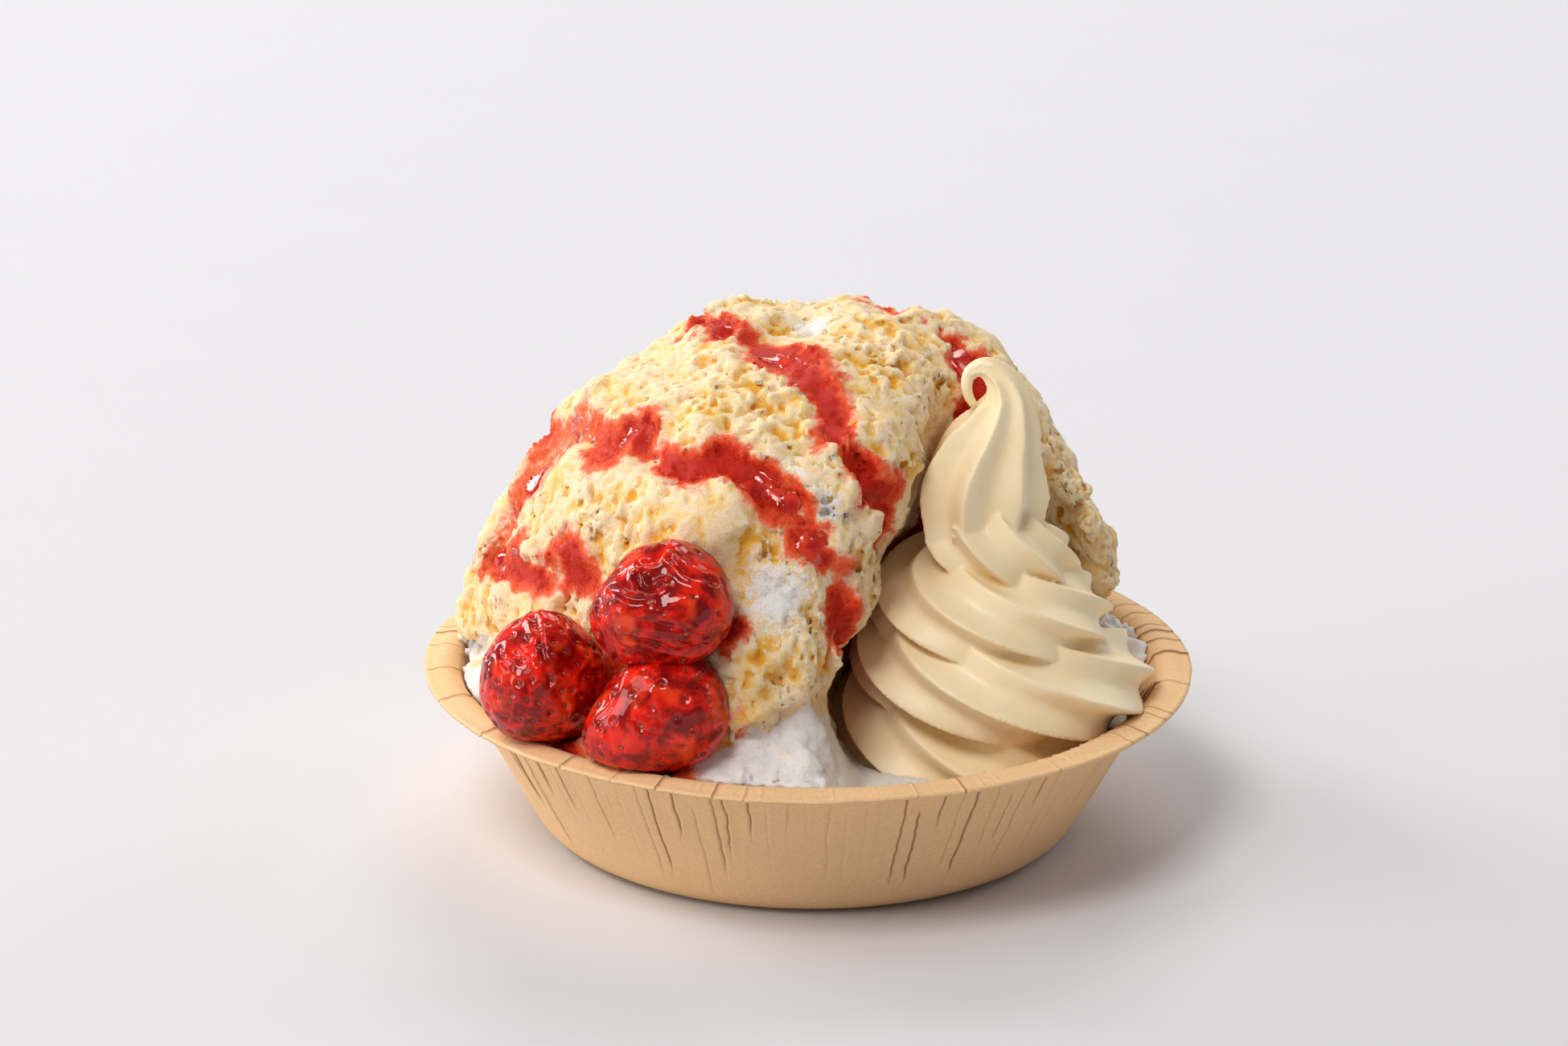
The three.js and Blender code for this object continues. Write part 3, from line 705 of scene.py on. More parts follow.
class DessertBowlSettings(PropertyGroup):
    creases: IntProperty(
        name="Creases", description="Pressed folds round the bowl's wall", default=112, min=8, max=140
    )
    crease_depth: length_property("Crease depth", "Depth of the deepest fold", 0.5, 0, 2)
    board: colour_property("Board", "Colour of the unbleached board", linear(242, 199, 148))


class DessertIceSettings(PropertyGroup):
    pitch: length_property("Detail", "Spacing of the points that the ice is built from", 0.55, 0.4, 3)
    cream: colour_property("Custard ice", "Colour of ice soaked in custard syrup", linear(255, 216, 150))
    pit: colour_property("Pits", "Colour of the syrup in the ice's pits", linear(255, 186, 54))
    bare: colour_property("Bare ice", "Colour of ice without syrup", linear(251, 245, 240))
    sauce: colour_property("Strawberry sauce", "Colour of ice soaked in sauce", linear(200, 34, 10))


class DessertSwirlSettings(PropertyGroup):
    cream: colour_property("Soft serve", "Colour of the soft serve", linear(254, 234, 194))


class DessertBerrySettings(PropertyGroup):
    seeds: IntProperty(
        name="Seeds", description="Seeds on the most seeded strawberry", default=170, min=10, max=400
    )
    flesh: colour_property("Strawberry", "Colour of the strawberries", linear(232, 32, 10))


class DessertStageSettings(PropertyGroup):
    floor: colour_property("Floor", "Colour of the floor", linear(214, 213, 216))
    key_power: FloatProperty(
        name="Key light", description="Power of the key light", default=75.0, min=0, max=2000, unit="POWER"
    )


class DessertSettings(PropertyGroup):
    bowl: PointerProperty(type=DessertBowlSettings)
    ice: PointerProperty(type=DessertIceSettings)
    swirl: PointerProperty(type=DessertSwirlSettings)
    berry: PointerProperty(type=DessertBerrySettings)
    stage: PointerProperty(type=DessertStageSettings)


# ---------------------------------------------------------------- bowl


def bowl_profile():
    """Rows of the board's outer face from the axis to the flange's edge.

    Each has its radius, its height, the outward normal across and up, and its place.
    The place is over 1 under the foot, falls from 1 to 0 up the wall and goes on to -1 at the flange's edge.
    """
    b = BOWL
    lean = wall_lean()
    rows = [(r, 0.0, 0.0, -1.0, 1.2) for r in (8.0, 30.0, 45.0)]
    for a in np.linspace(-math.pi / 2, lean, 8):
        across, up = math.cos(a), math.sin(a)
        place = 1.0 + 0.15 * (lean - a) / (lean + math.pi / 2)
        rows.append((b["foot"] + b["corner"] * across, b["corner"] * (1 + up), across, up, place))
    foot, top = rows[-1], b["height"] - b["board"]
    for t in np.linspace(0, 1, WALL_ROWS)[1:]:
        z = foot[1] + t * (top - foot[1])
        rows.append((foot[0] - math.tan(lean) * (z - foot[1]), z, math.cos(lean), math.sin(lean), 1 - t))
    start = b["wall"] - b["board"]
    steps = np.linspace(0, 1, 9)[1:]
    crown = b["rise"] * np.sin(math.pi * np.minimum(1, steps / CROWN_SHARE))
    crown -= b["drop"] * (np.maximum(0, steps - LIP_START) / (1 - LIP_START)) ** 2
    flange = np.stack([start + steps * (b["flange"] - start), top + crown], 1)
    slope = unit(np.gradient(flange, axis=0))
    rows += [(r, z, s[1], -s[0], -t) for (r, z), s, t in zip(flange, slope, steps)][1:]
    return np.array(rows)


def crease_shape(x, crease):
    """Height of a crease at distances across its line: a groove with a lip on one side and a thin blister."""
    groove = -bell(x, 0.26)
    lip = 0.75 * crease["lip"] * bell(x * crease["side"] - 0.6, 0.5)
    blister = crease["blister"] * bell(x * crease["side"] + 0.75, 0.55)
    return groove + lip + blister


def bowl_mesh(settings):
    """Grid of the board's points, with columns crowded along each crease, and how much painted shade the
    creases put on each point.
    """
    outer = bowl_profile()
    count = settings.creases
    rng = np.random.default_rng(4)
    # Each crease's azimuth, lean, depth (most on the left and right), ends on the wall, and form.
    spacing = TURN / count
    azimuth = (np.arange(count) + rng.uniform(-0.3, 0.3, count)) * spacing
    lean = spacing * np.clip(rng.normal(0, 0.11, count), -0.18, 0.18)
    flank = 0.62 + 0.38 * np.abs(np.cos(azimuth)) ** 1.5
    depth = rng.choice([0.25, 0.5, 0.8, 1.0], count) * flank
    start = rng.choice([0.0, 0.0, 0.0, 0.3], count) * rng.uniform(0.3, 1, count)
    end = rng.uniform(0.4, 1.0, count)
    on_flange = rng.choice([0.25, 0.6, 1.0], count)
    shape = dict(
        side=rng.choice([-1, 1], count),
        lip=rng.uniform(0.4, 1.0, count),
        blister=rng.choice([0.0, 0.0, 0.6], count),
    )
    # Where each crease runs at each row, and how deep it is there.
    place = outer[:, 4:5]
    down = np.clip(place, 0, 1.2)
    spots = np.stack(np.broadcast_arrays(7 * down, 3.7 * np.arange(count)[None], 0.0), -1)
    sway = noise(spots.reshape(-1, 3), 1.0, 5) + 0.5 * noise(2.7 * spots.reshape(-1, 3), 1.0, 6)
    centre = azimuth + lean * down + 0.09 * spacing * sway.reshape(len(outer), count)
    gap = np.roll(centre, -1, 1) - centre
    gap[:, -1] += TURN
    reach = smoothstep(end + 0.1, end - 0.15, down) * smoothstep(start - 0.1, start, down + 1e-6)
    reach = np.where(place < 0, on_flange * (start == 0), reach) * depth
    # The columns between a crease and the next one, each raised by the two that it lies between.
    theta = (centre[..., None] + gap[..., None] * COLUMNS).reshape(len(outer), -1)
    arc = (gap * outer[:, :1])[..., None]
    raised, crease_line_and_shade = 0, 0
    for x, turn in ((arc * COLUMNS, 0), (arc * (COLUMNS - 1), -1)):
        crease = {key: np.roll(value, turn)[None, :, None] for key, value in shape.items()}
        strength = np.roll(reach, turn, 1)[..., None]
        raised = raised + strength * crease_shape(x, crease)
        # Painted shade along each crease's line, which also nicks the flange's edge
        crease_line_and_shade = np.maximum(crease_line_and_shade, strength * bell(x, 0.3))
    raised = raised.reshape(len(outer), -1) * settings.crease_depth / MM
    crease_line_and_shade = crease_line_and_shade.reshape(len(outer), -1)
    # Slow ripples all over, and nicks in the flange's edge.
    rim = np.stack([np.cos(theta), np.sin(theta), 0 * theta], -1).reshape(-1, 3)
    ripple = noise(rim * 5, 1.0, 12).reshape(theta.shape)
    nicks = 0.5 + 0.5 * noise(rim * 18, 1.0, 13).reshape(theta.shape)
    raised += 0.25 * ripple * smoothstep(0.9, 0.2, place) * smoothstep(-0.6, 0.0, place)
    edge = smoothstep(-0.55, -1.0, place)
    # The outer face, and the inner one with fewer rows, from the flange's edge back to the middle.
    sides = []
    every_row, fewer_rows = np.arange(len(outer)), np.r_[0:4, 5 : len(outer) - 8 : 3, -8:0]
    for side, keep in ((0.0, every_row), (BOWL["board"], fewer_rows)):
        row = outer[keep][::-1] if side else outer[keep]
        order = keep[::-1] if side else keep
        out = raised[order] - side
        radius = row[:, :1] + row[:, 2:3] * out - edge[order] * (0.3 * nicks[order] + 0.3 * crease_line_and_shade[order])
        height = row[:, 1:2] + row[:, 3:4] * out
        height += 0.2 * ripple[order] * smoothstep(0.5, 0.0, row[:, 4:5])
        radius = np.clip(radius, 1, BOWL["flange"])
        height = np.maximum(height, 0 if not side else BOWL["board"])
        points = np.stack([radius * np.cos(theta[order]), radius * np.sin(theta[order]), height], -1)
        sides.append((points, crease_line_and_shade[order]))
    return [np.concatenate(parts) for parts in zip(*sides)]


def make_bowl(settings):
    grid, crease_line_and_shade = bowl_mesh(settings)
    rows, columns = crease_line_and_shade.shape
    points = np.concatenate([grid.reshape(-1, 3), [(0, 0, 0), (0, 0, BOWL["board"])]])
    crease_line_and_shade = np.concatenate([crease_line_and_shade.ravel(), [0, 0]])
    piece = add_mesh("pressed_board_bowl", points, closed_surface(rows, columns), dict(crease=crease_line_and_shade))
    flip_if_inside_out(piece)
    m = Nodes("kraft_board", Roughness=0.74, IOR=1.45, Specular_IOR_Level=0.35)
    fibre = m.noise(0.9, detail=5, roughness=0.7, stretch=(1, 1, 2.2))
    patch = m.noise(9, detail=3)
    base = settings.board
    colour = m.fade(fibre, 0.3, 0.7, tinted(base, 0.9), tinted(base, 1.06))
    colour = m.fade(patch, 0.35, 0.7, colour, tinted(base, 0.93), 0.3)
    # Painted shade: the board darkens to deep brown along each crease
    colour = m.fade(m.attribute("crease"), 0.12, 0.75, colour, tinted(base, (0.3, 0.22, 0.16)), 0.85)
    normal = m.bump(m.noise(0.6, detail=4, roughness=0.7), 0.3, 0.1)
    normal = m.bump(m.noise(3.5, detail=2), 0.25, 0.15, normal)
    dress(piece, m.finish(Base_Color=colour, Normal=normal), "board", "bowl")


# ---------------------------------------------------------------- shaved ice


def bare_share(p):
    """How much of the ice is bare of syrup: 1 at the foot of the heap, 0 on its flanks."""
    azimuth, elevation = angles_of(p)
    front = bell(azimuth + 78, 16)
    left = bell(np.abs(azimuth) - 172, 22)
    edge = 27.5 + 5.5 * front + 5.0 * left + 3.5 * noise(p, 9, 61) + 2.0 * noise(p, 4, 62)
    return smoothstep(2.0, -2.0, elevation - edge)


def soak_share(p):
    """How deeply the ice is dyed by the sauce: 1 on a run's middle line, fading to 0 beside it."""
    swell = 1 + 0.35 * noise(p, 11, 71) + 0.55 * noise(p, 4.6, 72) + 0.35 * noise(p, 2.0, 73)
    along_run = smoothstep(6.6, 1.3, nearest(p, SAUCE_LINE) / np.maximum(swell, 0.25))
    patches = smoothstep(0.25, 0.95, patch_weight(p, SOAKED) * swell)
    return np.clip(np.maximum(along_run, patches), 0, 1) * (1 - 0.7 * patch_weight(p, FADED))


def berry_frame(berry):
    """Matrix of a strawberry's turn, whose columns are its axes."""
    return np.array(Euler([math.radians(a) for a in berry["turn"]], "XYZ").to_matrix())


def ice_block(pitch):
    """The ice's distances with the sauce's channels in it, before its pits and grain."""
    half_width, low, high = 79, -1.6, 116
    block = Block((-half_width, -half_width, low), (half_width, half_width, high), pitch)
    block.fill(smooth_ice, band=3.2 + 3.5 * pitch)
    channel = np.zeros(block.values.shape, np.float32)
    for point in SAUCE_LINE:
        part, (x, y, z) = block.part(point, CHANNEL["reach"])
        channel[part] = np.maximum(channel[part], 1 - (x * x + y * y + z * z) / CHANNEL["reach"] ** 2)
    block.values += CHANNEL["depth"] * channel
    return block


def eaten(p, bare, soak, calm):
    """How far syrup has eaten into the ice: a sponge of crisp pits in custard ice, puffs in bare ice."""
    bend = np.stack([noise(p, 2.6, seed) for seed in (201, 202, 203)], 1)
    q = (p + 0.8 * bend) * [1, 1, 0.6]
    cluster = 0.3 * noise(p, 9, 204)
    wide = smoothstep(0.35, 0.75, noise(q, 2.5, 205) + cluster)
    narrow = smoothstep(0.0, 0.5, noise(q, 1.4, 206) + cluster)
    small = np.abs(noise(p, 1.15, 208))
    pits = (wide + 1.1 * narrow) * (1 - calm) * (1 - 0.7 * soak)
    custard = pits + small - 0.85 * noise(p, 3.6, 207) - 0.85
    puffs = 2.4 * (np.abs(noise(p, 9.5, 213)) - 0.35)
    puffs += 1.5 * np.abs(noise(p, 3.4, 209)) + 0.9 * np.abs(noise(p, 1.7, 210))
    snow = 0.9 - puffs + 0.5 * small
    return custard + (snow - custard) * bare


def make_grain(block):
    """Gives the ice its sponge of pits and crumbs, in a layer as deep as the deepest pit."""
    deepest, highest, at_once = 4.2, 2.6, 500000
    near = np.argwhere((block.values > -deepest) & (block.values < highest))
    for i in range(0, len(near), at_once):
        cells = near[i : i + at_once]
        p = block.low + block.pitch * cells
        bare, soak = bare_share(p), soak_share(p)
        left = bell(np.abs(angles_of(p)[0]) - 165, 40)
        calm = np.maximum(0.85 * patch_weight(p, GLASSY), 0.35 * left)
        fade = smoothstep(24, 31, p[:, 2])  # the ice hidden in the bowl stays smooth
        block.values[tuple(cells.T)] += (eaten(p, bare, soak, calm) * fade).astype(np.float32)


def make_room(block):
    """Takes the soft serve, the strawberries and the bowl's wall out of the ice, so that it fits in them."""
    wall_gap, swirl_gap, berry_gap, above_rim = 0.45, 0.2, 0.1, 1.5
    x, y, heights = (low + block.pitch * np.arange(n) for low, n in zip(block.low, block.values.shape))
    r = np.hypot(x[:, None], y[None, :])
    for k in range(int((BOWL["height"] + above_rim - block.low[2]) / block.pitch)):
        wall = r - wall_radius(heights[k]) + wall_gap
        block.values[:, :, k] = np.maximum(block.values[:, :, k], WALL_SLANT * wall)
    stations = swirl_stations(24)
    for centre, rope, squash, side, tangent in zip(
        *(stations[key] for key in ("centre", "rope", "squash", "side", "tangent"))
    ):
        axes = (side, np.cross(tangent, side), tangent)
        radii = (rope + swirl_gap, rope * squash + swirl_gap, 0.8 * rope)
        block.carve(centre, axes, radii, rounding=0.4)
    block.values = np.maximum(block.values, (heights - TOP / MM).astype(np.float32))
    for berry in BERRIES.values():
        radii = np.array(berry["half"]) + berry_gap
        block.carve(np.array(berry["at"], float), berry_frame(berry).T, radii, rounding=0.6)


def sauce_field(block, smooth):
    """Distance outside the pools of sauce, which fill the ice's channels to a little under its surface."""
    pools = copy.deepcopy(block)
    far, widest, half_width, beside, deepest, outside = 9.0, 7.5, 2.8, 1.5, 4, 2
    line = np.full(block.values.shape, far, np.float32)
    swell = 1 + 0.5 * noise(SAUCE_LINE, 7, 101) + 0.35 * noise(SAUCE_LINE, 3, 102)
    for point, width in zip(SAUCE_LINE, half_width * swell):
        part, (x, y, z) = block.part(point, widest)
        line[part] = np.minimum(line[part], np.sqrt(x * x + y * y + z * z) - width)
    near = np.argwhere((line < beside) & (np.abs(smooth.values) < deepest))
    p = block.low + block.pitch * near
    at = tuple(near.T)
    level, overlap = noise(p, 6, 103) + 0.35 * noise(p, 3.2, 104), 0.9
    body = rounded_max(smooth.values[at] + level, line[at], 0.8)
    body = np.maximum(body, -(block.values[at] + overlap))
    pools.values[...] = outside
    pools.values[at] = body
    return pools


def ice_material(settings):
    m = Nodes("syrup_soaked_ice", glow=(0.6, 0.0022, (1.0, 0.75, 0.4)), IOR=1.31)
    m.shader.subsurface_method = "RANDOM_WALK"
    cloud = m.noise(7, detail=3, roughness=0.55)
    fine = m.noise(1.3, detail=4, roughness=0.65)
    grain = m.noise(0.5, detail=3, roughness=0.7)
    pit = m.add(m.attribute("pit"), m.specks(fine, -0.24))
    colour = m.fade(pit, -0.1, 0.25, linear(255, 226, 192), settings.cream)
    colour = m.fade(pit, 0.22, 0.8, colour, settings.pit)
    colour = m.fade(cloud, 0.5, 0.72, colour, linear(255, 226, 192), 0.35)
    colour = m.fade(grain, 0.54, 0.74, colour, linear(255, 233, 218), 0.4)
    frost = m.add(m.attribute("frost"), m.add(m.specks(grain, 0.25), m.specks(fine, 0.3)))
    colour = m.fade(frost, 0.3, 0.7, colour, settings.bare)
    bare = m.add(m.attribute("bare"), m.specks(cloud, 0.25))
    colour = m.fade(bare, 0.3, 0.7, colour, settings.bare)
    soak = m.add(m.attribute("soak"), m.specks(fine, 0.13))
    for low, high, tint in (
        (0.05, 0.22, linear(252, 196, 166)),
        (0.18, 0.4, linear(244, 122, 76)),
        (0.36, 0.66, linear(236, 78, 34)),
        (0.62, 0.95, settings.sauce),
    ):
        colour = m.fade(soak, low, high, colour, tint)
    rough = m.remap(soak, 0.5, 0.9, 0.48, 0.2)
    normal = m.bump(grain, 0.9, 0.5, m.bump(fine, 0.6, 0.6))
    return m.finish(Base_Color=colour, Roughness=rough, Normal=normal)


def sauce_material():
    glow = (0.3, 0.003, (1.0, 0.15, 0.08))
    m = Nodes("strawberry_sauce", glow, Roughness=0.12, IOR=1.42, Coat_Weight=0.8, Coat_Roughness=0.04)
    colour = m.fade(m.noise(3.5), 0.35, 0.65, linear(178, 12, 4), linear(226, 60, 24))
    return m.finish(Base_Color=colour, Normal=m.bump(m.noise(1.6), 0.35, 0.4))


def make_ice(settings):
    pitch = settings.pitch / MM * 1
    block = ice_block(pitch)
    smooth = copy.deepcopy(block)
    make_grain(block)
    make_room(block)
    points, quads = surface_net(block.values, block.low, block.pitch)
    ice = add_mesh("custard_shaved_ice", points, quads)
    reduce_mesh(ice, MOST_TRIANGLES["ice"])
    p = mesh_points(ice)
    attributes = dict(
        soak=soak_share(p),
        pit=smoothstep(-0.7, 1.4, -smooth.sample(p)),
        bare=bare_share(p),
        frost=patch_weight(p, FROSTED),
    )
    set_attributes(ice, attributes)
    dress(ice, ice_material(settings), "ice", "shaved_ice")
    pools = sauce_field(block, smooth)
    points, quads = surface_net(pools.values, pools.low, pools.pitch)
    sauce = add_mesh("strawberry_sauce", points, quads)
    reduce_mesh(sauce, MOST_TRIANGLES["sauce"])
    dress(sauce, sauce_material(), "strawberry")


# ---------------------------------------------------------------- soft serve


def swirl_stations(steps_per_turn):
    """The rope's middle line with its radius, flatness, turn and frame at each station."""
    steps = round(COIL_TURNS * steps_per_turn)
    turns = np.arange(steps + 1) / steps * COIL_TURNS
    coil, rise, rope = along(COILS, np.minimum(2 * turns, len(COILS) - 1)).T
    azimuth = -TURN * turns
    outward = np.stack([np.cos(azimuth), np.sin(azimuth), 0 * azimuth], 1)
    origin = np.array([SWIRL["x"], SWIRL["y"], BOWL["height"]])
    centre = origin + outward * coil[:, None] + np.stack([0 * rise, 0 * rise, rise], 1)
    path = np.concatenate([centre[-1:], origin + TIP[:, :3]])
    tip_steps = round(1.5 * steps_per_turn)
    t = np.arange(1, tip_steps + 1) / tip_steps
    tip_centre = centripetal(path, t * (len(path) - 1))
    tip_rope = along(np.concatenate([rope[-1:], TIP[:, 3]]), t * len(TIP))
    squash = SWIRL["squash"] + (1 - SWIRL["squash"]) * np.minimum(1, 4 * t)
    out = dict(
        centre=np.concatenate([centre, tip_centre]),
        rope=np.concatenate([rope, tip_rope]),
        squash=np.concatenate([np.full(steps + 1, SWIRL["squash"]), squash]),
        turn=TURN * np.concatenate([turns, np.full(tip_steps, turns[-1])]),
    )
    c = out["centre"]
    after, before = np.concatenate([c[1:], c[-1:]]), np.concatenate([c[:1], c[:-1]])
    out["tangent"] = unit(after - before)
    side = np.zeros_like(c)
    for i, tangent in enumerate(out["tangent"]):
        start = outward[i] if i <= steps else side[i - 1]
        side[i] = unit(start - tangent * (start @ tangent))
    out["side"] = side
    tangent = out["tangent"]
    turned = np.concatenate([tangent[1:], tangent[-1:]]) - np.concatenate([tangent[:1], tangent[:-1]])
    length = np.linalg.norm(turned, axis=1)
    out["bend_radius"] = np.linalg.norm(after - before, axis=1) / np.maximum(length, 1e-6)
    out["bend"] = unit(turned)
    return out


def centripetal(path, t):
    """Points of a centripetal Catmull-Rom curve through a path, at fractional indexes t."""
    out = []
    for value in t:
        i = min(int(value), len(path) - 2)
        w = value - i
        p0 = path[i - 1] if i > 0 else 2 * path[0] - path[1]
        p3 = path[i + 2] if i + 2 < len(path) else 2 * path[-1] - path[-2]
        p1, p2 = path[i], path[i + 1]
        d0, d1, d2 = (max(math.sqrt(np.linalg.norm(b - a)), 1e-4) for a, b in ((p0, p1), (p1, p2), (p2, p3)))
        m1 = ((p1 - p0) / d0 - (p2 - p0) / (d0 + d1) + (p2 - p1) / d1) * d1
        m2 = ((p2 - p1) / d1 - (p3 - p1) / (d1 + d2) + (p3 - p2) / d2) * d1
        c2 = -3 * p1 + 3 * p2 - 2 * m1 - m2
        c3 = 2 * p1 - 2 * p2 + m1 + m2
        out.append(p1 + w * (m1 + w * (c2 + w * c3)))
    return np.array(out)


def rope_points(stations, around):
    """Rings of the fluted rope, which sags in its lower coils and is flat on the inside of tight bends."""
    s = stations
    a = round_angles(around)
    valley = np.abs(np.sin(SWIRL["flutes"] * a / 2)) ** 1.1
    r = s["rope"][:, None] * (1 - SWIRL["depth"] * valley)
    angle = a[None] + s["turn"][:, None]
    up = np.cross(s["tangent"], s["side"])
    offset = s["side"][:, None] * (r * np.cos(angle))[..., None]
    offset += up[:, None] * (r * s["squash"][:, None] * np.sin(angle))[..., None]
    # The sag is full up to 2.85 turns and gone at 3.3.
    lean = SWIRL["sag"] * np.clip(2 - 2.2 * (s["turn"] / TURN - 2.4), 0, 1)
    below = np.einsum("sak,sk->sa", offset, up)
    offset -= s["side"][:, None] * (below * lean[:, None])[..., None]
    inward = np.einsum("sak,sk->sa", offset, s["bend"])
    most_inward = 0.88 * s["bend_radius"][:, None]
    over = np.maximum(inward - most_inward, 0)
    offset -= over[..., None] * s["bend"][:, None]
    return s["centre"][:, None] + offset


def make_soft_serve(settings):
    stations, around = swirl_stations(72), 16 * SWIRL["flutes"]
    rings = rope_points(stations, around)
    rope = np.concatenate([rings.reshape(-1, 3), stations["centre"][[0, -1]]])
    core_columns, core_bottom, core_top = 24, -16, 36
    a = round_angles(core_columns)
    core = [(r * np.cos(a), r * np.sin(a), z + 0 * a) for r, z in CORE]
    core = np.concatenate([np.stack(row, 1) for row in core] + [[(0, 0, core_bottom), (0, 0, core_top)]])
    core += [SWIRL["x"], SWIRL["y"], BOWL["height"]]
    faces = [closed_surface(len(rings), around), closed_surface(len(CORE), core_columns) + len(rope)]
    piece = add_mesh("soft_serve_swirl", np.concatenate([rope, core]), np.concatenate(faces))
    modifier = piece.modifiers.new("join", "REMESH")
    modifier.mode = "VOXEL"
    modifier.voxel_size = 0.45 * MM
    apply_modifiers(piece)
    p = keep_in_bowl(mesh_points(piece))
    piece.data.vertices.foreach_set("co", (p * MM).astype(np.float32).ravel())
    piece.data.update()
    reduce_mesh(piece, MOST_TRIANGLES["soft_serve"])
    m = Nodes("soft_serve", glow=(0.06, 0.001, (1.0, 0.7, 0.4)), Roughness=0.38, IOR=1.4)
    base = settings.cream
    colour = m.fade(m.noise(9), 0.35, 0.65, base, tinted(base, (0.97, 0.94, 0.88)))
    normal = m.bump(m.noise(0.55, roughness=0.6), 0.25, 0.12)
    normal = m.bump(m.noise(2.5, detail=2), 0.2, 0.2, normal)
    dress(piece, m.finish(Base_Color=colour, Normal=normal), "soft_serve", "soft_serve")


# ---------------------------------------------------------------- strawberries


def even_directions(count, rng):
    """Directions spread evenly over a sphere, a little out of true."""
    i = np.arange(count) + 0.5
    z = 1 - 2 * i / count
    a = i * TURN * (math.sqrt(5) - 1) / 2
    flat = np.sqrt(1 - z * z)
    spread = np.stack([z, flat * np.cos(a), flat * np.sin(a)], 1)
    return unit(spread + rng.normal(0, 0.45 / math.sqrt(count), (count, 3)))


def berry_surface(n, berry):
    """A strawberry's skin about its centre, for directions in its own frame, and the painted shade in its
    folds and dips.
    """
    half = np.array(berry["half"], float)
    girth = 1 + berry["taper"] * n[:, 0]
    dents = 1 + 0.05 * noise(n * half[0], 9, berry["seed"])
    scale = np.stack([np.full(len(n), half[0]), half[1] * girth, half[2] * girth], 1)
    p = (n * scale * dents[:, None]) @ berry_frame(berry).T
    toward = unit(p)
    size = half.mean()
    bend = np.stack([noise(p, 4, berry["seed"] + k) for k in (5, 6, 7)], 1)
    out, fold_shade = np.zeros(len(p)), np.zeros(len(p))
    for depth, line in berry["folds"]:
        spots = direction(*np.array(line, float).T)
        path = unit(along(spots, np.linspace(0, len(spots) - 1, 40)))
        away = nearest(size * toward + 0.9 * bend, size * path)
        out += depth * (0.75 * bell(away - 1.5, 0.8) - 1.1 * bell(away, 0.6))
        # Painted shade along each fold's line
        fold_shade = np.maximum(fold_shade, depth * bell(away, 0.8))
    for azimuth, elevation, reach, depth in berry["dips"]:
        away = size * np.linalg.norm(toward - direction(azimuth, elevation), axis=1)
        out -= depth * bell(away, reach)
        # Painted shade in each dip
        fold_shade = np.maximum(fold_shade, 0.35 * depth * bell(away, reach))
    out += 0.5 * noise(p, 5, berry["seed"] + 1) + 0.1 * noise(p, 1.9, berry["seed"] + 2)
    return p + toward * out[:, None], fold_shade


def strawberry_material(settings):
    glow, coat = (0.08, 0.002, (1.0, 0.1, 0.03)), dict(Coat_Weight=0.7, Coat_Roughness=0.03)
    m = Nodes("glazed_strawberry", glow, Roughness=0.42, IOR=1.38, Specular_IOR_Level=0.05, **coat)
    base = settings.flesh
    mottle = m.noise(4.2, detail=5, roughness=0.62, distortion=0.4)
    colour = m.fade(mottle, 0.4, 0.64, tinted(base, (0.3, 0.05, 0.1)), base)
    # Orange patches painted as light glowing through thin flesh
    colour = m.fade(m.noise(6.5, distortion=0.3), 0.52, 0.7, colour, linear(238, 70, 24), 0.85)
    # Painted shade in the folds and dips
    colour = m.fade(m.attribute("fold_shade"), 0.15, 0.9, colour, linear(110, 4, 4), 0.7)
    # Painted shade in the seeds' dimples
    colour = m.fade(m.attribute("dimple_and_shade"), 0.3, 1.0, colour, linear(120, 8, 6), 0.55)
    coat = m.bump(m.noise(3.6, detail=2), 0.22, 0.6)
    return m.finish(Base_Color=colour, Normal=m.bump(m.noise(1.0), 0.2, 0.25), Coat_Normal=coat)


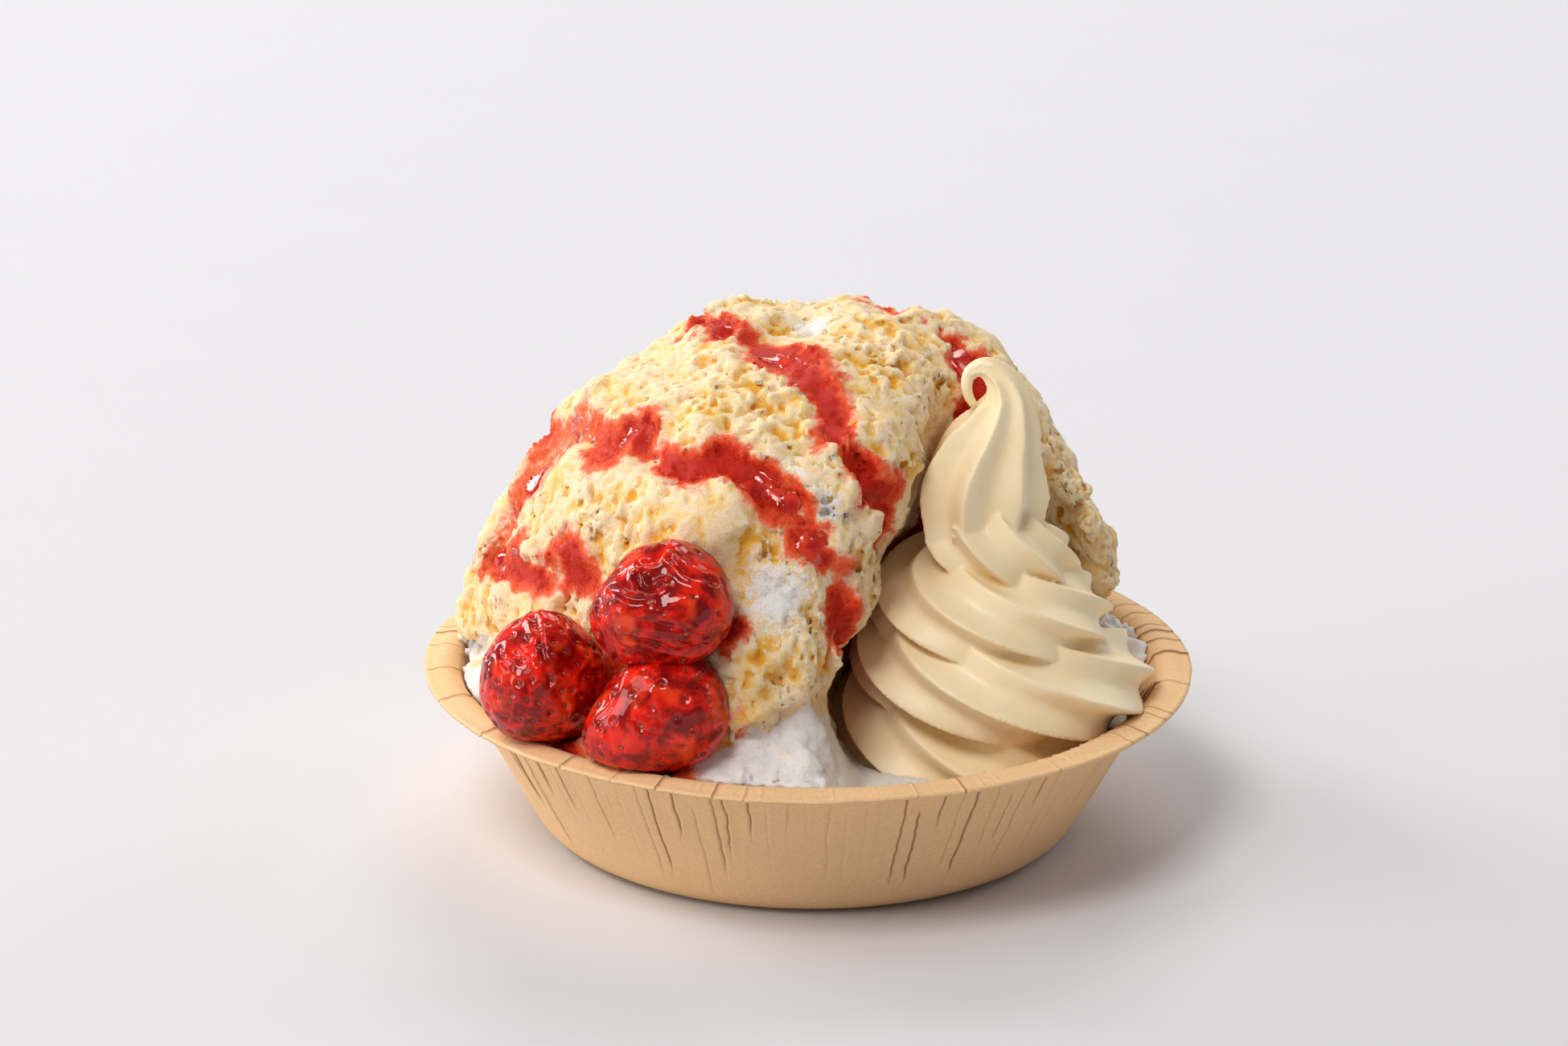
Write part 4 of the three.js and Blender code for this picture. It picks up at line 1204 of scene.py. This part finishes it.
def make_strawberries(settings):
    skin = strawberry_material(settings)
    rows, columns = ((159, 230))
    dimple_width, dimple_depth, rim_at, rim_width, rim_height, seed_sink = 0.75, 0.42, 1.3, 0.5, 0.1, 0.4
    latitude = math.pi * (np.arange(1, rows + 1) / (rows + 1) - 0.5)
    flat, lift = np.cos(latitude)[:, None], np.sin(latitude)[:, None]
    a = round_angles(columns)
    sphere = np.stack([lift + 0 * a, flat * np.cos(a), flat * np.sin(a)], -1).reshape(-1, 3)
    sphere = np.concatenate([sphere, [[-1, 0, 0], [1, 0, 0]]])
    seeds = []
    for name, berry in BERRIES.items():
        rng = np.random.default_rng(berry["seed"])
        points, fold_shade = berry_surface(sphere, berry)
        spots, _ = berry_surface(even_directions(round(settings.seeds * berry["seeds"]), rng), berry)
        gap = nearest(points, spots)
        # Each seed's dimple, whose depth also sets the painted shade in it
        dimple_and_shade = bell(gap, dimple_width)
        out = rim_height * bell(gap - rim_at, rim_width) - dimple_depth * dimple_and_shade
        points = keep_in_bowl(points + unit(points) * out[:, None] + berry["at"])
        faces = closed_surface(rows, columns)
        piece = add_mesh("glazed_" + name, points, faces, dict(dimple_and_shade=dimple_and_shade, fold_shade=fold_shade))
        flip_if_inside_out(piece)
        dress(piece, skin, "strawberry", name)
        for spot in spots:
            up = unit(spot)
            ahead = berry_frame(berry)[:, 0]
            ahead = unit(ahead - up * (up @ ahead))
            axes = np.array([ahead, np.cross(up, ahead), up])
            seeds.append(berry["at"] + spot - seed_sink * up + seed_shape(rng) @ axes)
    faces = [closed_surface(*SEED_GRID) + i * len(seed) for i, seed in enumerate(seeds)]
    piece = add_mesh("strawberry_seeds", np.concatenate(seeds), np.concatenate(faces))
    m = Nodes("strawberry_seed", Roughness=0.3, Coat_Weight=0.6)
    colour = m.fade(m.noise(2.0), 0.4, 0.6, linear(110, 22, 8), linear(176, 84, 34))
    dress(piece, m.finish(Base_Color=colour), "strawberry")


def seed_shape(rng):
    """The points of one small seed: a lens 1.2 mm long."""
    rows, columns = SEED_GRID
    length, width, height, last_row = 0.62, 0.36, 0.26, 0.65
    lift = np.linspace(-last_row, last_row, rows)[:, None]
    a = round_angles(columns)
    flat = np.sqrt(1 - lift * lift)
    rings = np.stack([length * lift + 0 * a, width * flat * np.cos(a), height * flat * np.sin(a)], -1)
    lens = np.concatenate([rings.reshape(-1, 3), [(-length, 0, 0), (length, 0, 0)]])
    return lens * rng.uniform(0.75, 1.1)


def keep_in_bowl(p):
    """Moves points that reach into the bowl's wall back inside it."""
    r = np.hypot(p[:, 0], p[:, 1])
    clearance, free = 0.4, 40
    limit = wall_radius(np.minimum(p[:, 2], BOWL["height"])) - clearance
    limit = limit + free * smoothstep(BOWL["height"] + 0.9, BOWL["height"] + 1.6, p[:, 2])
    p = p.copy()
    p[:, :2] *= np.minimum(1, limit / np.maximum(r, 1))[:, None]
    return p


def flip_if_inside_out(piece):
    """Turns a closed mesh's faces outwards if they point in."""
    p = mesh_points(piece)
    if ((p - p.mean(0)) * mesh_values(piece, "normal")).sum() < 0:
        piece.data.flip_normals()


# ---------------------------------------------------------------- stage


def add_light(name, at, width, power, colour):
    """A square soft light that points at the dessert."""
    middle = Vector((0, 0, 0.05))
    light = bpy.data.lights.new(name, "AREA")
    light.size = width
    light.energy = power
    light.color = colour
    lamp = bpy.data.objects.new(name, light)
    lamp.location = at
    lamp.rotation_euler = (middle - Vector(at)).to_track_quat("-Z", "Y").to_euler()
    bpy.context.scene.collection.objects.link(lamp)


def make_camera():
    """A camera 1 m in front of the dessert, which looks a little down at it."""
    tilt, roll = math.radians(18.54), math.radians(0.53)
    focal_length_px, image_width_px = 5830, 1950
    target = Vector((-5.43, 0, 66.35)) * MM
    forward = Vector((0, math.cos(tilt), -math.sin(tilt)))
    right = Vector((1, 0, 0))
    up = right.cross(forward)
    cos, sin = math.cos(roll), math.sin(roll)
    right, up = right * cos + up * sin, up * cos - right * sin
    data = bpy.data.cameras.new("camera")
    data.sensor_width = 36
    data.lens = data.sensor_width * focal_length_px / image_width_px
    data.clip_start, data.clip_end = 0.01, 50
    camera = bpy.data.objects.new("camera", data)
    turn = Matrix((right, up, -forward)).transposed().to_4x4()
    camera.matrix_world = Matrix.Translation(target - forward) @ turn
    bpy.context.scene.collection.objects.link(camera)
    bpy.context.scene.camera = camera


def make_stage(settings):
    side, front, back = 6000, -3000, 9000
    corners = [(-side, front, 0), (side, front, 0), (side, back, 0), (-side, back, 0)]
    floor = add_mesh("floor", corners, np.array([[0, 1, 2, 3]]))
    m = Nodes("pale_floor", Roughness=0.85, Specular_IOR_Level=0.2)
    colour = m.fade(m.noise(60), 0.3, 0.7, settings.floor, tinted(settings.floor, 0.985), 0.3)
    floor.data.materials.append(m.finish(Base_Color=colour))
    world = bpy.data.worlds.new("soft_room")
    world.use_nodes = True
    background = world.node_tree.nodes["Background"]
    background.inputs["Color"].default_value = (0.97, 0.97, 1.0, 1)
    background.inputs["Strength"].default_value = ROOM_LIGHT
    bpy.context.scene.world = world
    for name, at, width, share, colour in STUDIO_LIGHTS:
        add_light(name, at, width, settings.key_power * share, colour)
    make_camera()
    scene = bpy.context.scene
    scene.view_settings.view_transform = "Standard"
    scene.view_settings.look = "None"


# ---------------------------------------------------------------- operators


class DESSERT_OT_bowl(Operator):
    """Makes the pressed board bowl"""

    bl_idname = "dessert.make_bowl"
    bl_label = "Make the bowl"

    def execute(self, context):
        make_bowl(context.scene.dessert.bowl)
        return {"FINISHED"}


class DESSERT_OT_ice(Operator):
    """Makes the shaved ice and the sauce in it"""

    bl_idname = "dessert.make_ice"
    bl_label = "Make the shaved ice"

    def execute(self, context):
        make_ice(context.scene.dessert.ice)
        return {"FINISHED"}


class DESSERT_OT_soft_serve(Operator):
    """Makes the swirl of soft serve"""

    bl_idname = "dessert.make_soft_serve"
    bl_label = "Make the soft serve"

    def execute(self, context):
        make_soft_serve(context.scene.dessert.swirl)
        return {"FINISHED"}


class DESSERT_OT_strawberries(Operator):
    """Makes the strawberries and their seeds"""

    bl_idname = "dessert.make_strawberries"
    bl_label = "Make the strawberries"

    def execute(self, context):
        make_strawberries(context.scene.dessert.berry)
        return {"FINISHED"}


class DESSERT_OT_stage(Operator):
    """Makes the floor, the lights and the camera"""

    bl_idname = "dessert.make_stage"
    bl_label = "Make the stage"

    def execute(self, context):
        make_stage(context.scene.dessert.stage)
        return {"FINISHED"}


OPERATORS = (
    DESSERT_OT_bowl,
    DESSERT_OT_ice,
    DESSERT_OT_soft_serve,
    DESSERT_OT_strawberries,
    DESSERT_OT_stage,
)


class DESSERT_PT_panel(Panel):
    """Lists the dessert's pieces and their settings"""

    bl_label = "Shaved Ice Dessert"
    bl_idname = "DESSERT_PT_panel"
    bl_space_type = "VIEW_3D"
    bl_region_type = "UI"
    bl_category = "Dessert"

    def draw(self, context):
        settings = context.scene.dessert
        for operator in OPERATORS:
            self.layout.operator(operator.bl_idname)
        for group in (settings.bowl, settings.ice, settings.swirl, settings.berry, settings.stage):
            box = self.layout.box()
            for key in group.__annotations__:
                box.prop(group, key)


CLASSES = (
    DessertBowlSettings,
    DessertIceSettings,
    DessertSwirlSettings,
    DessertBerrySettings,
    DessertStageSettings,
    DessertSettings,
    *OPERATORS,
    DESSERT_PT_panel,
)


def register():
    for cls in CLASSES:
        bpy.utils.register_class(cls)
    bpy.types.Scene.dessert = PointerProperty(type=DessertSettings)


def unregister():
    del bpy.types.Scene.dessert
    for cls in reversed(CLASSES):
        bpy.utils.unregister_class(cls)


def main():
    register()
    bpy.ops.dessert.make_bowl()
    bpy.ops.dessert.make_ice()
    bpy.ops.dessert.make_soft_serve()
    bpy.ops.dessert.make_strawberries()
    bpy.ops.dessert.make_stage()


if __name__ == "__main__":
    main()
